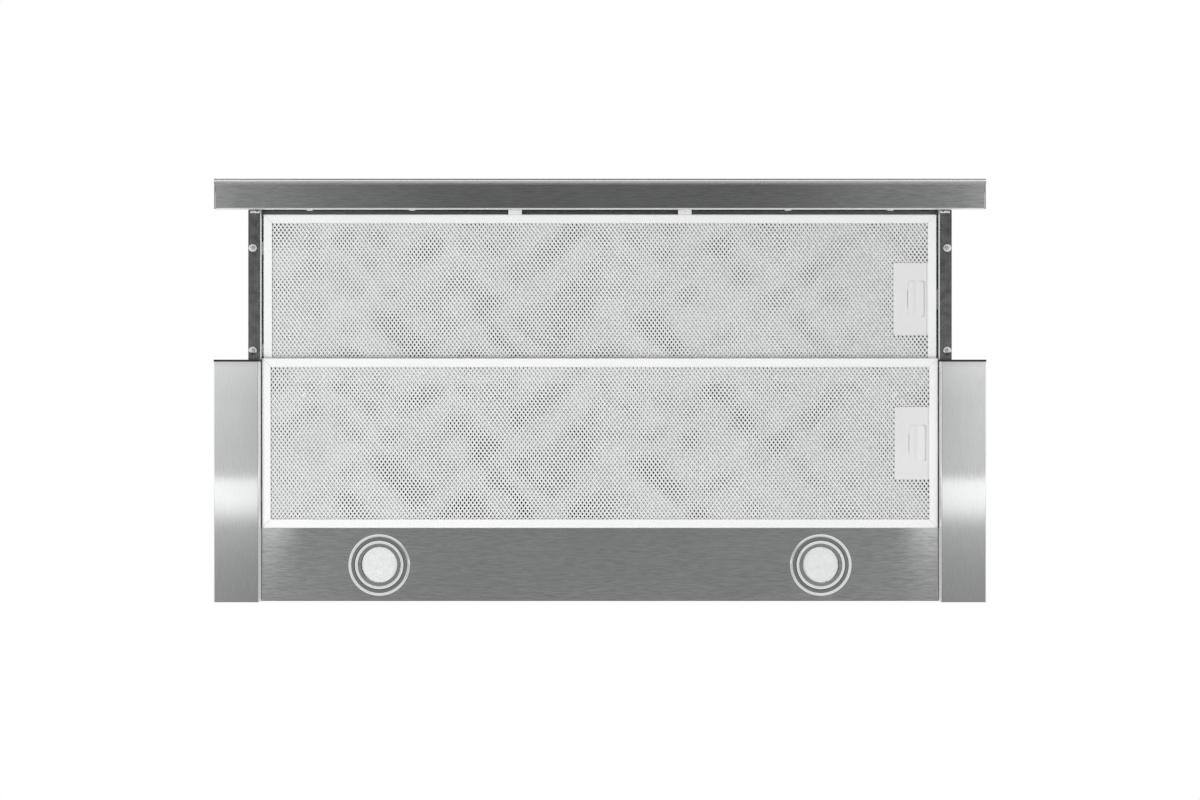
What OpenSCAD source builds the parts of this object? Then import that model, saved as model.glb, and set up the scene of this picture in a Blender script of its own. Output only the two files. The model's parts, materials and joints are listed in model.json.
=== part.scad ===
// Pull-out range hood of the 900 mm class, shown with its drawer drawn out.
// Seen from below it has two steel side pods, two mesh grease filters and a strip with two lamps.
// The drawer runs on ball slides inside the pods. A centrifugal blower sits in a box on top.
// Origin: centre of the four cabinet screws, on top of the tray. The front is -Y and up is +Z.
// Heights given as "up" are measured from the underside of the pods, the lowest face.

/* [Body] */
// Overall width
hood_w = 898; // [740:2:1100]
// Depth of the fixed body, front to back
body_d = 282; // [235:1:340]
// Height of the tray, from the underside of the pods to its top
tray_h = 58; // [52:1:72]
// Sheet thickness of the housings
sheet = 1; // [0.8:0.1:1.2]
// Width of a side pod
pod_w = 53; // [48:1:70]
// Height of a pod's inner wall
pod_wall_h = 20; // [20:0.5:21]
// Thickness of a pod's plastic front cap
cap_t = 2.4; // [1.6:0.2:4]
// Cabinet screw line, inwards from a pod
cabinet_inset = 46; // [40:1:60]
// Cabinet screw line, inwards from the front and the back
cabinet_margin = 41; // [35:1:50]
// Radius of a cabinet screw hole
cabinet_hole_r = 2.75; // [2:0.25:3.5]

/* [Drawer] */
// How far the drawer slides
travel = 171; // [120:1:180]
// Gap left between the closed fascia and the pods
closed_gap = 4.2; // [3.6:0.2:8]
// Depth of the fascia, front to back
fascia_d = 35.5; // [30:0.5:50]
// Depth of the lip along the fascia's front
lip_d = 6.4; // [4:0.2:10]
// How far the tray's top stands above the fascia's
fascia_drop = 2; // [1:0.5:6]
// Height of the drawer's arms above the underside
arm_up = 22.4; // [22.4:0.2:24]
// Width of an arm's flange
arm_w = 15.5; // [14:0.5:18]
// Sheet thickness of the arms
arm_t = 1.2; // [1:0.1:1.5]
// Distance of the drawer's top panel below the top of the tray
deck_drop = 12; // [11.5:0.5:14]
// First arm screw, behind the fascia
arm_screw_first = 44; // [30:1:60]
// Distance between an arm's two screws
arm_screw_gap = 120.5; // [80:0.5:140]
// First fascia screw, out from the middle
fascia_screw_first = 99.5; // [80:0.5:110]
// Distance between neighbouring fascia screws
fascia_screw_pitch = 119.3; // [90:0.1:122]

/* [Ball slides] */
// Width of a slide
slide_w = 17; // [15:0.5:20]
// Height of a slide
slide_h = 11; // [10:0.5:12]
// Width of a slide's inner rail
inner_rail_w = 8; // [7:0.5:9]
// Radius of a ball
ball_r = 1.4; // [1.1:0.1:1.5]
// Clearance of a ball on each side
ball_gap = 0.3; // [0.25:0.05:0.4]
// Balls in each row
balls = 6; // [4:1:10]

/* [Grease filters] */
// Thickness of a filter cassette
filter_t = 9; // [8:0.5:10]
// Width of a cassette's frame bars
bar_w = 10; // [8:0.5:14]
// Height of the rear filter above the underside
rear_filter_up = 12; // [11:0.5:12]
// Height of the front filter above the underside
front_filter_up = 24; // [24:0.5:26]
// Gap between a cassette and the pods
filter_gap = 1.6; // [1.2:0.1:2.5]
// Width of a latch housing
latch_w = 40.2; // [38:0.1:50]
// Length of a latch housing
latch_len = 84.5; // [70:0.5:100]
// Width of a latch button
latch_button_w = 20.3; // [16:0.1:22]
// Length of a latch button
latch_button_len = 42.9; // [36:0.1:50]
// How far a latch button slides
latch_travel = 5; // [4:0.5:6]

/* [Lamps] */
// Depth of the strip that holds the lamps
strip_d = 85.5; // [78:0.5:100]
// Height of the strip above the underside
strip_up = 16; // [14:0.5:18]
// Lamp centre, inwards from a pod
lamp_inset = 138; // [90:1:200]
// Lamp centre, in from the back
lamp_back = 42.3; // [38:0.1:50]
// Radius of a lamp's bezel
bezel_r = 36; // [34:0.5:38]
// Radius of a lamp's lens
lens_r = 20.7; // [18:0.1:22]

/* [Blower] */
// Width of the motor box
box_w = 520; // [480:10:600]
// Height of the motor box above the tray
box_h = 145; // [140:1:200]
// Distance of the motor box behind the tray's front
box_setback = 22; // [15:1:30]
// Radius of the impeller
impeller_r = 52; // [46:1:54]
// Blades on the impeller
blades = 30; // [24:1:40]
// Half the width of the blower's scroll
scroll_half = 65; // [60:1:75]
// Outer radius of the duct collar
collar_r = 74.5; // [72:0.5:76]
// Height of the duct collar's spigot
collar_h = 36; // [30:1:50]
// Radius of the motor shaft
shaft_r = 3; // [2.5:0.5:4]
// Running clearance of a shaft or hinge pin
run_gap = 0.05; // [0.03:0.01:0.1]

/* [Controls] */
// Number of push buttons
buttons = 5; // [5]
// Distance between neighbouring buttons
button_pitch = 20; // [18:1:24]
// Width of a button
button_w = 14; // [10:1:15]
// Height of a button
button_h = 9; // [7:0.5:12]
// How far a button is pushed in
button_travel = 2.5; // [2:0.5:3]

/* [Hidden] */
$fn = 64;

half_w = hood_w / 2;
front_y = -body_d / 2;
rear_y = body_d / 2;
pod_in = half_w - pod_w;
tray_half = half_w - sheet;
tray_front = front_y + cap_t;
cut = 1;         // how far a cutting shape runs past the face it opens
hair = 0.2;      // clearance between plastic parts that slide on each other
screw_r = 2;     // shank of the screws that join sheets
tapping_r = 1.9; // shank of the smaller screws in the drawer
skirt_h = 18;    // height of the tray's side and rear skirts
skirt_screw_z = -10;
screw_margin = 30;
strip_screw_inset = 60;

// Drawer
fascia_back = front_y - closed_gap - travel;
fascia_front = fascia_back - fascia_d;
rail_face = fascia_back - sheet;
deck_up = tray_h - deck_drop;
fascia_top = tray_h - fascia_drop;
arm_in = pod_in + 0.5;
arm_rear = rear_y - 13 - travel;
arm_out = arm_in + arm_w;
arm_tab_screw = arm_in + 7.2;
arm_tab_screw_up = arm_up + 11.6;
screw_clear = 0.1;
upstand_h = 13;          // height of the fascia's rear upstand
inner_fold_h = 10;       // height of the fold behind the lip
hem_t = 2;               // thickness of the fascia's hemmed ends
lip_up = 0.8;            // height of the lip above the underside
lip_hook_up = 6;         // top of the lip's hooked edge
panel_t = 1.2;           // thickness of the front panel
deck_overlap = 4;        // how far the deck runs past the rear rail
rear_rail_fold = 14;     // width of the rear rail's fold under the deck
stop_half = 8;           // half the width of a filter stop

// Slides
rail_c = arm_in + arm_t + 0.5 + slide_w / 2;
rail_base = arm_up + arm_t;
rail_top = rail_base + slide_h;
rail_t = 1.2;
rail_front = tray_front + 1.6;
rail_rear = rear_y - 9;
row_x = inner_rail_w / 2 + ball_gap + ball_r;
row_up = rail_base + slide_h / 2;
cage_t = 0.8;
cage_drop = 1.8;         // from the slide's top down to the cage
side_drop = 3.2;         // from the slide's top down to the inner rail's edge
rail_edge = 1.6;         // from the slide's base up to the outer rail's edge
cage_front = rail_front + 5;
cage_rear = arm_rear - 9;

// Filters
filter_half = pod_in - filter_gap;
strip_front = rear_y - strip_d;
rear_filter_y = front_y - 1.8;
filter_d = strip_front - hair - rear_filter_y;
front_filter_y = fascia_back + 4.6;
lip_t = 1;
tab_up = filter_t - 0.8;
tab_t = 1.2;
tab_w = 14;
tab_span = 120;
rear_reach = 5;
front_reach = pod_in + 0.5 + arm_t - 0.1 - filter_half;
tongue_w = 24;
tongue_gap = 0.5;
slider_mid = filter_half - bar_w - 13.5;
latch_floor = [0.5, 2.3];  // underside and top of a latch housing's floor
latch_wall = 1.5;
stem_size = [10, 20];
slider_size = [20, 40];
grip_w = 3;
net_columns = 17;
net_rows = 8;
net_strand = 2.4;
net_t = 2.4;

// Lamps
lamp_x = pod_in - lamp_inset;
lamp_y = rear_y - lamp_back;
neck_r = 30.4;
lamp_hole_r = 31;
neck_h = 9;
rim_h = 2;               // height of a bezel's outer rim
ring_h = 2.2;            // height of its inner ring
band_h = 1;              // height of the band between them
band_in = 28.4;          // inner radius of that band
ring_in = 25.4;          // inner radius of the ring
rim_w = 2.2;             // width of the outer rim
clip_half = 5;
clip_reach = 14;
fins = 3;                // fins on each side of the middle one
fin_pitch = 6;
can_h = 15;
strip_gap = 0.6;
strip_fold = 5;

// Blower
box_front = front_y + box_setback;
box_mid = (box_front + rear_y) / 2;
scroll_gap = 6;
scroll_grow = 26;
scroll_wall = 2;
scroll_first = 100;
scroll_r1 = impeller_r + scroll_gap + scroll_grow;
scroll_flange = 8;
fan_y = box_mid - 11;
fan_z = impeller_r + 16;
neck_top = box_h - sheet;
inlet_r = impeller_r - 8;
motor_r = 40;
motor_len = 56;
band_w = 16;             // width of the motor's middle band
bracket_t = 5;
bracket_rim = 8;
box_flange = 12;
intake_margin = 25;      // from the motor box's side to the opening in the tray
hub_r = 12;
hub_half = 14;
end_ring_t = 3;
end_ring_w = 9;
blade_chord = 7.5;
blade_t = 1.2;
blade_turn = 25;
grille_t = 2.5;
collar_y = fan_y + 37;
collar_t = 3;
flap_z = box_h + 12;
flap_t = 1.6;
flap_pin_r = 2;
flap_pin_off = 2.6;
gland_x = -195;
gland_y = box_mid + 60;
gland_bore_r = 4;
gland_r = 8;
gland_nut_r = 13;
gland_nut_h = 6;
gland_cap_h = 8;
terminal_size = [80, 60, 30];
terminal_wall = 2;
collar_plate = 168;
collar_plate_t = 3;
capacitor_r = 15;
capacitor_h = 60;
driver_size = [120, 40, 22];
driver_ear = 10;

function lift(h) = h - tray_h;
function scroll_radius(a) = impeller_r + scroll_gap
    + scroll_grow * (a - scroll_first) / (360 - scroll_first);

// A block from its low and high corner on each axis
module slab(x, y, z)
    translate([x[0], y[0], z[0]]) cube([x[1] - x[0], y[1] - y[0], z[1] - z[0]]);

// Parts are drawn on the right. side(-1) gives the left one.
module side(s) mirror([s < 0 ? 1 : 0, 0, 0]) children();

// An outline in Y and Z, extruded along X
module along_x(x0, x1) translate([x0, 0, 0]) rotate([90, 0, 90]) linear_extrude(x1 - x0) children();

module round_rect(w, l, r) {
    square([w - 2 * r, l], center = true);
    square([w, l - 2 * r], center = true);
    for (x = [-1, 1], y = [-1, 1])
        translate([x * (w / 2 - r), y * (l / 2 - r)]) circle(r, $fn = 32);
}

// A screw whose head lies on z = 0 with its shank going up
module screw(head_r, head_h, shank_r, shank_len) {
    rotate_extrude($fn = 32) polygon([
        [0, -head_h], [head_r * 0.55, -head_h], [head_r * 0.85, -head_h * 0.75],
        [head_r, -head_h * 0.3], [head_r, 0], [shank_r, 0], [shank_r, shank_len], [0, shank_len]
    ]);
}

// ---- Fixed body ----

function box_screw_points() = concat(
    [for (s = [-1, 1], y = [0.15, 0.5, 0.85])
        [s * (box_w / 2 + box_flange / 2), box_front + y * (rear_y - box_front)]],
    [for (x = [-0.3, 0.3]) [x * box_w, box_front - box_flange / 2]]
);
function pod_screw_ys() = [front_y + screw_margin, 0, rear_y - screw_margin];
function strip_screw_xs() = [-pod_in + strip_screw_inset, 0, pod_in - strip_screw_inset];

module cabinet_holes()
    for (x = [-1, 1], y = [-1, 1])
        translate([x * (pod_in - cabinet_inset), y * (rear_y - cabinet_margin), -sheet - cut])
            cylinder(r = cabinet_hole_r, h = sheet + 2 * cut, $fn = 32);

// Z-shaped hanger that carries an outer rail below the tray's top
module rail_hanger() {
    low = lift(rail_top);
    x0 = rail_c - slide_w / 2;
    x1 = rail_c + slide_w / 2;
    slab([x0, x1], [rail_front, rear_y - 2 * sheet], [low, low + arm_t]);
    slab([x1 - arm_t, x1], [rail_front, rear_y - 2 * sheet], [low, -sheet]);
}

module chassis_tray() color("silver") difference() {
    union() {
        slab([-tray_half, tray_half], [tray_front, rear_y - sheet], [-sheet, 0]);
        slab([-tray_half, tray_half], [tray_front, tray_front + sheet], [-deck_drop + 2.5, 0]);
        slab([-tray_half, tray_half], [rear_y - 2 * sheet, rear_y - sheet], [-skirt_h, 0]);
        for (s = [-1, 1]) side(s) {
            slab([tray_half - sheet, tray_half], [tray_front, rear_y - sheet], [-skirt_h, 0]);
            rail_hanger();
        }
    }
    cabinet_holes();
    slab([-box_w / 2 + intake_margin, box_w / 2 - intake_margin], [box_front + 20, rear_y - 30],
        [-sheet - cut, cut]);
    for (p = box_screw_points())
        translate([p[0], p[1], -sheet - cut]) cylinder(r = screw_r + screw_clear, h = sheet + 2 * cut);
    for (s = [-1, 1], y = pod_screw_ys()) side(s)
        translate([tray_half - sheet - cut, y, skirt_screw_z]) rotate([0, 90, 0])
            cylinder(r = screw_r + screw_clear, h = sheet + 2 * cut);
    for (x = strip_screw_xs())
        translate([x, rear_y - 2 * sheet - cut, skirt_screw_z]) rotate([-90, 0, 0])
            cylinder(r = screw_r + screw_clear, h = sheet + 2 * cut);
}

module motor_box() color("gainsboro") difference() {
    union() {
        slab([-box_w / 2, box_w / 2], [box_front, rear_y], [0, box_h]);
        slab([-box_w / 2 - box_flange, box_w / 2 + box_flange], [box_front - box_flange, rear_y],
            [0, sheet]);
    }
    slab([-box_w / 2 + sheet, box_w / 2 - sheet], [box_front + sheet, rear_y - sheet],
        [-cut, box_h - sheet]);
    translate([0, collar_y, box_h - sheet - cut])
        cylinder(r = collar_r - collar_t, h = sheet + 2 * cut);
    translate([gland_x, gland_y, box_h - sheet - cut])
        cylinder(r = gland_r + screw_clear, h = sheet + 2 * cut);
    for (p = box_screw_points())
        translate([p[0], p[1], -cut]) cylinder(r = screw_r + screw_clear, h = sheet + 2 * cut);
}

module pod_cover(s) side(s) color("lightgray") difference() {
    union() {
        slab([pod_in, half_w], [tray_front, rear_y], [lift(0), lift(sheet)]);
        slab([half_w - sheet, half_w], [tray_front, rear_y], [lift(0), 0]);
        slab([pod_in, pod_in + sheet], [tray_front, rear_y], [lift(0), lift(pod_wall_h)]);
        slab([pod_in, half_w], [rear_y - sheet, rear_y], [lift(0), 0]);
    }
    for (y = pod_screw_ys())
        translate([half_w - sheet - cut, y, skirt_screw_z]) rotate([0, 90, 0])
            cylinder(r = screw_r + screw_clear, h = sheet + 2 * cut);
}
module left_pod_cover() pod_cover(-1);
module right_pod_cover() pod_cover(1);

// Plastic front cap of a pod, with the notch that the arm and its slide run through
module pod_cap(s) side(s) color("black") difference() {
    union() {
        slab([pod_in, half_w], [front_y, tray_front], [lift(0), 0]);
        slab([pod_in + sheet + hair, tray_half - hair], [tray_front, tray_front + 6],
            [lift(sheet + 0.1), lift(sheet + 2)]);
    }
    slab([pod_in - cut, rail_c + slide_w / 2 + 1], [front_y - cut, tray_front + 10],
        [lift(pod_wall_h - 0.4), lift(deck_up + 2)]);
}
module left_pod_cap() pod_cap(-1);
module right_pod_cap() pod_cap(1);

module lamp_panel() color("gray") difference() {
    low = lift(strip_up);
    edge = pod_in - strip_gap;
    union() {
        slab([-edge, edge], [strip_front, rear_y], [low, low + sheet]);
        slab([-edge, edge], [strip_front, strip_front + sheet], [low, low + strip_fold]);
        slab([-edge, edge], [rear_y - sheet, rear_y], [low, 0]);
        for (s = [-1, 1]) side(s)
            slab([edge - sheet, edge], [strip_front, rear_y], [low, low + strip_fold - sheet]);
    }
    for (s = [-1, 1])
        translate([s * lamp_x, lamp_y, low - cut]) cylinder(r = lamp_hole_r, h = sheet + 2 * cut);
    for (x = strip_screw_xs())
        translate([x, rear_y - sheet - cut, skirt_screw_z]) rotate([-90, 0, 0])
            cylinder(r = screw_r + screw_clear, h = sheet + 2 * cut);
}

module at_lamp(s) translate([s * lamp_x, lamp_y, lift(strip_up)]) children();

// Bezel: outer rim, sunk band, inner ring, then a cone up to the lens
module lamp_bezel(s) color("silver") at_lamp(s) rotate_extrude($fn = 96) polygon([
    [bezel_r, 0], [bezel_r, -0.6 * rim_h], [bezel_r - 0.8, -rim_h], [bezel_r - rim_w, -rim_h],
    [bezel_r - rim_w - 0.6, -band_h], [band_in, -band_h], [band_in - 0.4, -ring_h],
    [ring_in, -ring_h], [ring_in - 0.6, -ring_h + 0.6],
    [lens_r + 0.3, 2.2], [lens_r + 0.3, 6], [lens_r + 1.9, 6], [lens_r + 1.9, 2.8],
    [ring_in + 0.6, 0.6], [neck_r - 1.6, 0.6], [neck_r - 1.6, neck_h], [neck_r, neck_h], [neck_r, 0]
]);
module left_lamp_bezel() lamp_bezel(-1);
module right_lamp_bezel() lamp_bezel(1);

module lamp_lens(s) color("white") at_lamp(s)
    translate([0, 0, 3]) cylinder(r = lens_r + 0.1, h = 2, $fn = 96);
module left_lamp_lens() lamp_lens(-1);
module right_lamp_lens() lamp_lens(1);

// Aluminium can that carries the light-emitting diodes and cools them
module led_housing(s) color("dimgray") at_lamp(s) difference() {
    union() {
        translate([0, 0, neck_h]) cylinder(r = neck_r, h = 1.5);
        translate([0, 0, neck_h]) cylinder(r = neck_r - 4, h = can_h);
    }
    translate([0, 0, neck_h - cut]) cylinder(r = lens_r, h = 6 + cut);
    for (x = [-fins:fins]) translate([x * fin_pitch, 0, 0])
        slab([-fin_pitch / 4, fin_pitch / 4], [-neck_r, neck_r],
            [neck_h + can_h - 6, neck_h + can_h + cut]);
}
module left_led_housing() led_housing(-1);
module right_led_housing() led_housing(1);

// Two leaf clips a lamp, which pull the bezel up against the strip
module lamp_clips() color("silver")
    for (s = [-1, 1], t = [-1, 1]) at_lamp(s) side(t) {
        slab([neck_r + hair, neck_r + 0.8], [-clip_half, clip_half], [sheet, neck_h - 1]);
        slab([neck_r + hair, neck_r + clip_reach], [-clip_half, clip_half], [sheet, sheet + 0.6]);
    }

module led_driver() color("ivory") {
    low = lift(strip_up + sheet);
    x = driver_size[0] / 2;
    y = lamp_y + 2;
    slab([-x, x], [y - driver_size[1] / 2, y + driver_size[1] / 2], [low, low + driver_size[2]]);
    for (s = [-1, 1]) side(s)
        slab([x, x + driver_ear], [y - driver_ear, y + driver_ear], [low, low + 2]);
}

module outer_rail(s) side(s) color("lightsteelblue") {
    x0 = rail_c - slide_w / 2;
    x1 = rail_c + slide_w / 2;
    low = lift(rail_base + rail_edge);
    top = lift(rail_top);
    slab([x0, x1], [rail_front, rail_rear], [top - rail_t, top]);
    slab([x0, x0 + rail_t], [rail_front, rail_rear], [low, top]);
    slab([x1 - rail_t, x1], [rail_front, rail_rear], [low, top]);
}
module left_outer_rail() outer_rail(-1);
module right_outer_rail() outer_rail(1);

module inner_rail(s) side(s) color("lightsteelblue") difference() {
    x0 = rail_c - inner_rail_w / 2;
    x1 = rail_c + inner_rail_w / 2;
    low = lift(rail_base);
    union() {
        slab([x0, x1], [fascia_back + 4, arm_rear - 3], [low, low + rail_t]);
        slab([x0, x0 + rail_t], [fascia_back + 4, arm_rear - 3], [low, lift(rail_top - side_drop)]);
        slab([x1 - rail_t, x1], [fascia_back + 4, arm_rear - 3], [low, lift(rail_top - side_drop)]);
    }
    for (y = arm_screw_ys()) translate([rail_c, y, low - cut])
        cylinder(r = screw_r + screw_clear, h = rail_t + 2 * cut);
}
module left_inner_rail() inner_rail(-1);
module right_inner_rail() inner_rail(1);

// Cage with its two rows of balls. It travels half as far as the drawer.
module ball_cage(s) side(s) color("goldenrod") {
    top = lift(rail_top - cage_drop);
    ball_ys = [for (i = [0:balls - 1]) cage_front + (i + 0.5) * (cage_rear - cage_front) / balls];
    difference() {
        union() {
            slab([rail_c - row_x - cage_t / 2, rail_c + row_x + cage_t / 2],
                [cage_front, cage_rear], [top - cage_t, top]);
            for (t = [-1, 1])
                slab([rail_c + t * row_x - cage_t / 2, rail_c + t * row_x + cage_t / 2],
                    [cage_front, cage_rear], [lift(row_up - 2), top]);
        }
        for (y = ball_ys) translate([rail_c - row_x - cut, y, lift(row_up)]) rotate([0, 90, 0])
            cylinder(r = ball_r + run_gap, h = 2 * (row_x + cut), $fn = 16);
    }
    for (t = [-1, 1], y = ball_ys) translate([rail_c + t * row_x, y, lift(row_up)])
        sphere(ball_r, $fn = 16);
}
module left_ball_cage() ball_cage(-1);
module right_ball_cage() ball_cage(1);

// ---- Blower ----

// Outline of the scroll in Y and Z about the fan's axis, grown outwards by extra
module scroll_outline(extra) polygon(concat(
    [for (a = [scroll_first:10:360])
        (scroll_radius(a) + extra) * [cos(a), sin(a)]],
    [[scroll_r1 + extra, neck_top - fan_z],
        [scroll_radius(scroll_first) * cos(scroll_first) - extra, neck_top - fan_z]]
));

module scroll_half_shell(s) translate([0, fan_y, fan_z]) side(s) difference() {
    union() {
        along_x(0, scroll_half) scroll_outline(scroll_wall);
        slab([0, scroll_half + scroll_flange], [-20, scroll_r1 + scroll_flange],
            [neck_top - fan_z - scroll_wall, neck_top - fan_z]);
    }
    along_x(-cut, scroll_half - scroll_wall) intersection() {
        scroll_outline(0);
        translate([-200, -200]) square(400 + neck_top);
    }
    slab([-cut, scroll_half - scroll_wall], [scroll_radius(scroll_first) * cos(scroll_first),
        scroll_r1], [neck_top - fan_z - 4, neck_top - fan_z + cut]);
    rotate([0, 90, 0]) cylinder(r = inlet_r, h = scroll_half + cut);
}
module scroll_left() color("slategray") scroll_half_shell(-1);
module scroll_right() color("slategray") scroll_half_shell(1);

// Double-inlet impeller on its shaft
module impeller() color("darkslategray") translate([0, fan_y, fan_z]) rotate([0, 90, 0]) {
    half = scroll_half - scroll_wall - 6;
    translate([0, 0, -1]) cylinder(r = impeller_r, h = 2);
    for (z = [-half, half - end_ring_t]) translate([0, 0, z]) difference() {
        cylinder(r = impeller_r, h = end_ring_t);
        translate([0, 0, -cut]) cylinder(r = impeller_r - end_ring_w, h = end_ring_t + 2 * cut);
    }
    for (i = [0:blades - 1]) rotate([0, 0, i * 360 / blades])
        translate([impeller_r - end_ring_w + 0.5, 0, -half + 1]) rotate([0, 0, blade_turn])
            translate([0, -blade_t / 2, 0]) cube([blade_chord, blade_t, 2 * half - 2]);
    translate([0, 0, -hub_half]) cylinder(r = hub_r, h = 2 * hub_half);
    translate([0, 0, -scroll_half - bracket_t - motor_len - 4])
        cylinder(r = shaft_r, h = scroll_half + bracket_t + motor_len + 20);
}

module motor() color("silver") translate([0, fan_y, fan_z]) {
    x1 = -scroll_half - bracket_t;
    difference() {
        union() {
            translate([x1 - motor_len, 0, 0]) rotate([0, 90, 0]) cylinder(r = motor_r, h = motor_len);
            translate([x1 - (motor_len + band_w) / 2, 0, 0]) rotate([0, 90, 0])
                cylinder(r = motor_r + 3, h = band_w);
        }
        translate([x1 - motor_len - cut, 0, 0]) rotate([0, 90, 0])
            cylinder(r = shaft_r + run_gap, h = motor_len + 2 * cut);
    }
}

// Three-armed bracket that holds the motor in front of the left inlet
module motor_bracket() color("gray") translate([-scroll_half - bracket_t, fan_y, fan_z])
    rotate([0, 90, 0]) difference() {
        union() {
            difference() {
                cylinder(r = inlet_r + bracket_rim, h = bracket_t);
                translate([0, 0, -cut]) cylinder(r = inlet_r, h = bracket_t + 2 * cut);
            }
            cylinder(r = 16, h = bracket_t);
            for (a = [30, 150, 270]) rotate([0, 0, a])
                translate([0, -5, 0]) cube([inlet_r + 3, 10, bracket_t]);
        }
        translate([0, 0, -cut]) cylinder(r = shaft_r + 2, h = bracket_t + 2 * cut);
    }

// Guard over the right inlet: a disc with rings of round holes
module inlet_grille() color("gray") translate([scroll_half, fan_y, fan_z]) rotate([0, 90, 0])
    difference() {
        cylinder(r = inlet_r + bracket_rim, h = grille_t);
        for (ring = [1:3], i = [0:6 * ring - 1]) rotate([0, 0, i * 60 / ring + 7])
            translate([ring * inlet_r * 0.285, 0, -cut])
                cylinder(r = inlet_r * 0.12, h = grille_t + 2 * cut, $fn = 24);
    }

module capacitor() color("lightgray") {
    x0 = -box_w / 2 + sheet;
    slab([x0, x0 + 6], [box_mid - 95, box_mid - 55], [30, 75]);
    translate([x0 + 4 + capacitor_r, box_mid - 75, 25]) cylinder(r = capacitor_r, h = capacitor_h);
}

module terminal_box() color("whitesmoke") translate([gland_x, gland_y, neck_top]) difference() {
    x = terminal_size[0] / 2;
    y = terminal_size[1] / 2;
    w = terminal_wall;
    slab([-x, x], [-y, y], [-terminal_size[2], 0]);
    slab([w - x, x - w], [w - y, y - w], [w - terminal_size[2], cut]);
}

module cable_gland() color("black") translate([gland_x, gland_y, 0]) difference() {
    union() {
        translate([0, 0, neck_top - gland_cap_h]) cylinder(r = gland_r, h = 12);
        translate([0, 0, box_h]) cylinder(r = gland_nut_r, h = gland_nut_h, $fn = 6);
        translate([0, 0, box_h + gland_nut_h]) cylinder(r = gland_r + 1, h = gland_cap_h);
    }
    translate([0, 0, neck_top - gland_cap_h - cut]) cylinder(r = gland_bore_r, h = 30);
}

module duct_collar() color("black") translate([0, collar_y, box_h]) difference() {
    union() {
        slab([-collar_plate / 2, collar_plate / 2], [-collar_plate / 2, collar_plate / 2],
            [0, collar_plate_t]);
        cylinder(r = collar_r, h = collar_plate_t + collar_h, $fn = 96);
    }
    translate([0, 0, -cut])
        cylinder(r = collar_r - collar_t, h = collar_h + collar_plate_t + 2 * cut, $fn = 96);
    for (s = [-1, 1]) translate([-collar_r - cut, s * flap_pin_off, flap_z - box_h])
        rotate([0, 90, 0]) cylinder(r = flap_pin_r + run_gap, h = 2 * (collar_r + cut), $fn = 32);
}

// Half-round non-return flap that swings up about its own trunnions
module flap(s) translate([0, collar_y + s * flap_pin_off, flap_z]) {
    inner = collar_r - collar_t - 1;
    rotate([0, 90, 0]) translate([0, 0, -collar_r + 0.4])
        cylinder(r = flap_pin_r, h = 2 * collar_r - 0.8, $fn = 32);
    intersection() {
        translate([0, -s * flap_pin_off, -flap_t / 2]) cylinder(r = inner, h = flap_t, $fn = 96);
        slab([-inner, inner], s > 0 ? [0, inner] : [-inner, 0], [-flap_t, flap_t]);
    }
}
module front_flap() color("gray") flap(-1);
module rear_flap() color("gray") flap(1);

module body_screws() color("gray") {
    for (p = box_screw_points()) translate([p[0], p[1], sheet]) mirror([0, 0, 1])
        screw(4, 1.6, screw_r, 2 * sheet + 2);
    for (s = [-1, 1], y = pod_screw_ys()) side(s)
        translate([tray_half - sheet, y, skirt_screw_z]) rotate([0, 90, 0]) screw(4, 1.6, screw_r, 2 * sheet);
    for (x = strip_screw_xs()) translate([x, rear_y - 2 * sheet, skirt_screw_z]) rotate([-90, 0, 0])
        screw(4, 1.6, screw_r, 2 * sheet);
}

// Switch that the right arm presses at the end of its way in
switch_x = arm_in + arm_t / 2;
switch_up = rail_top + arm_t;
module drawer_switch() color("black") difference() {
    slab([switch_x - 4, switch_x + 10], [arm_rear + travel + 3, rear_y - 2.6],
        [lift(switch_up), lift(switch_up + 10)]);
    translate([switch_x, arm_rear + travel, lift(switch_up + 5)]) rotate([-90, 0, 0])
        cylinder(r = 1.5 + run_gap, h = 8.5, $fn = 24);
}
module switch_plunger() color("red")
    translate([switch_x, arm_rear + travel + 0.4, lift(switch_up + 5)]) rotate([-90, 0, 0])
        cylinder(r = 1.5, h = 5.6, $fn = 24);

// ---- Drawer ----

function arm_screw_ys() = [fascia_back + arm_screw_first,
    fascia_back + arm_screw_first + arm_screw_gap];
function fascia_screw_xs() = [for (s = [-1, 1], i = [0:2])
    s * (fascia_screw_first + i * fascia_screw_pitch)];
fascia_screw_up = 6.5;

module fascia_holes(y, h)
    for (x = fascia_screw_xs()) translate([x, y, lift(fascia_screw_up)]) rotate([-90, 0, 0])
        cylinder(r = tapping_r + screw_clear, h = h, $fn = 24);

// Brushed channel along the front: underside, rear upstand and hemmed ends
module fascia() color("dimgray") difference() {
    y0 = fascia_front + lip_d;
    union() {
        slab([-half_w, half_w], [y0, fascia_back], [lift(0), lift(sheet)]);
        slab([-half_w, half_w], [rail_face, fascia_back], [lift(0), lift(upstand_h)]);
        slab([-half_w, half_w], [y0, y0 + sheet], [lift(0), lift(inner_fold_h)]);
        for (s = [-1, 1]) side(s)
            slab([half_w - hem_t, half_w], [y0, fascia_back], [lift(0), lift(fascia_top) - sheet]);
    }
    fascia_holes(rail_face - cut, sheet + 2 * cut);
}

function button_x(i) = (i - (buttons - 1) / 2) * button_pitch;
button_up = 34;
button_len = 10.4;
button_proud = 0.4;

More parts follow.
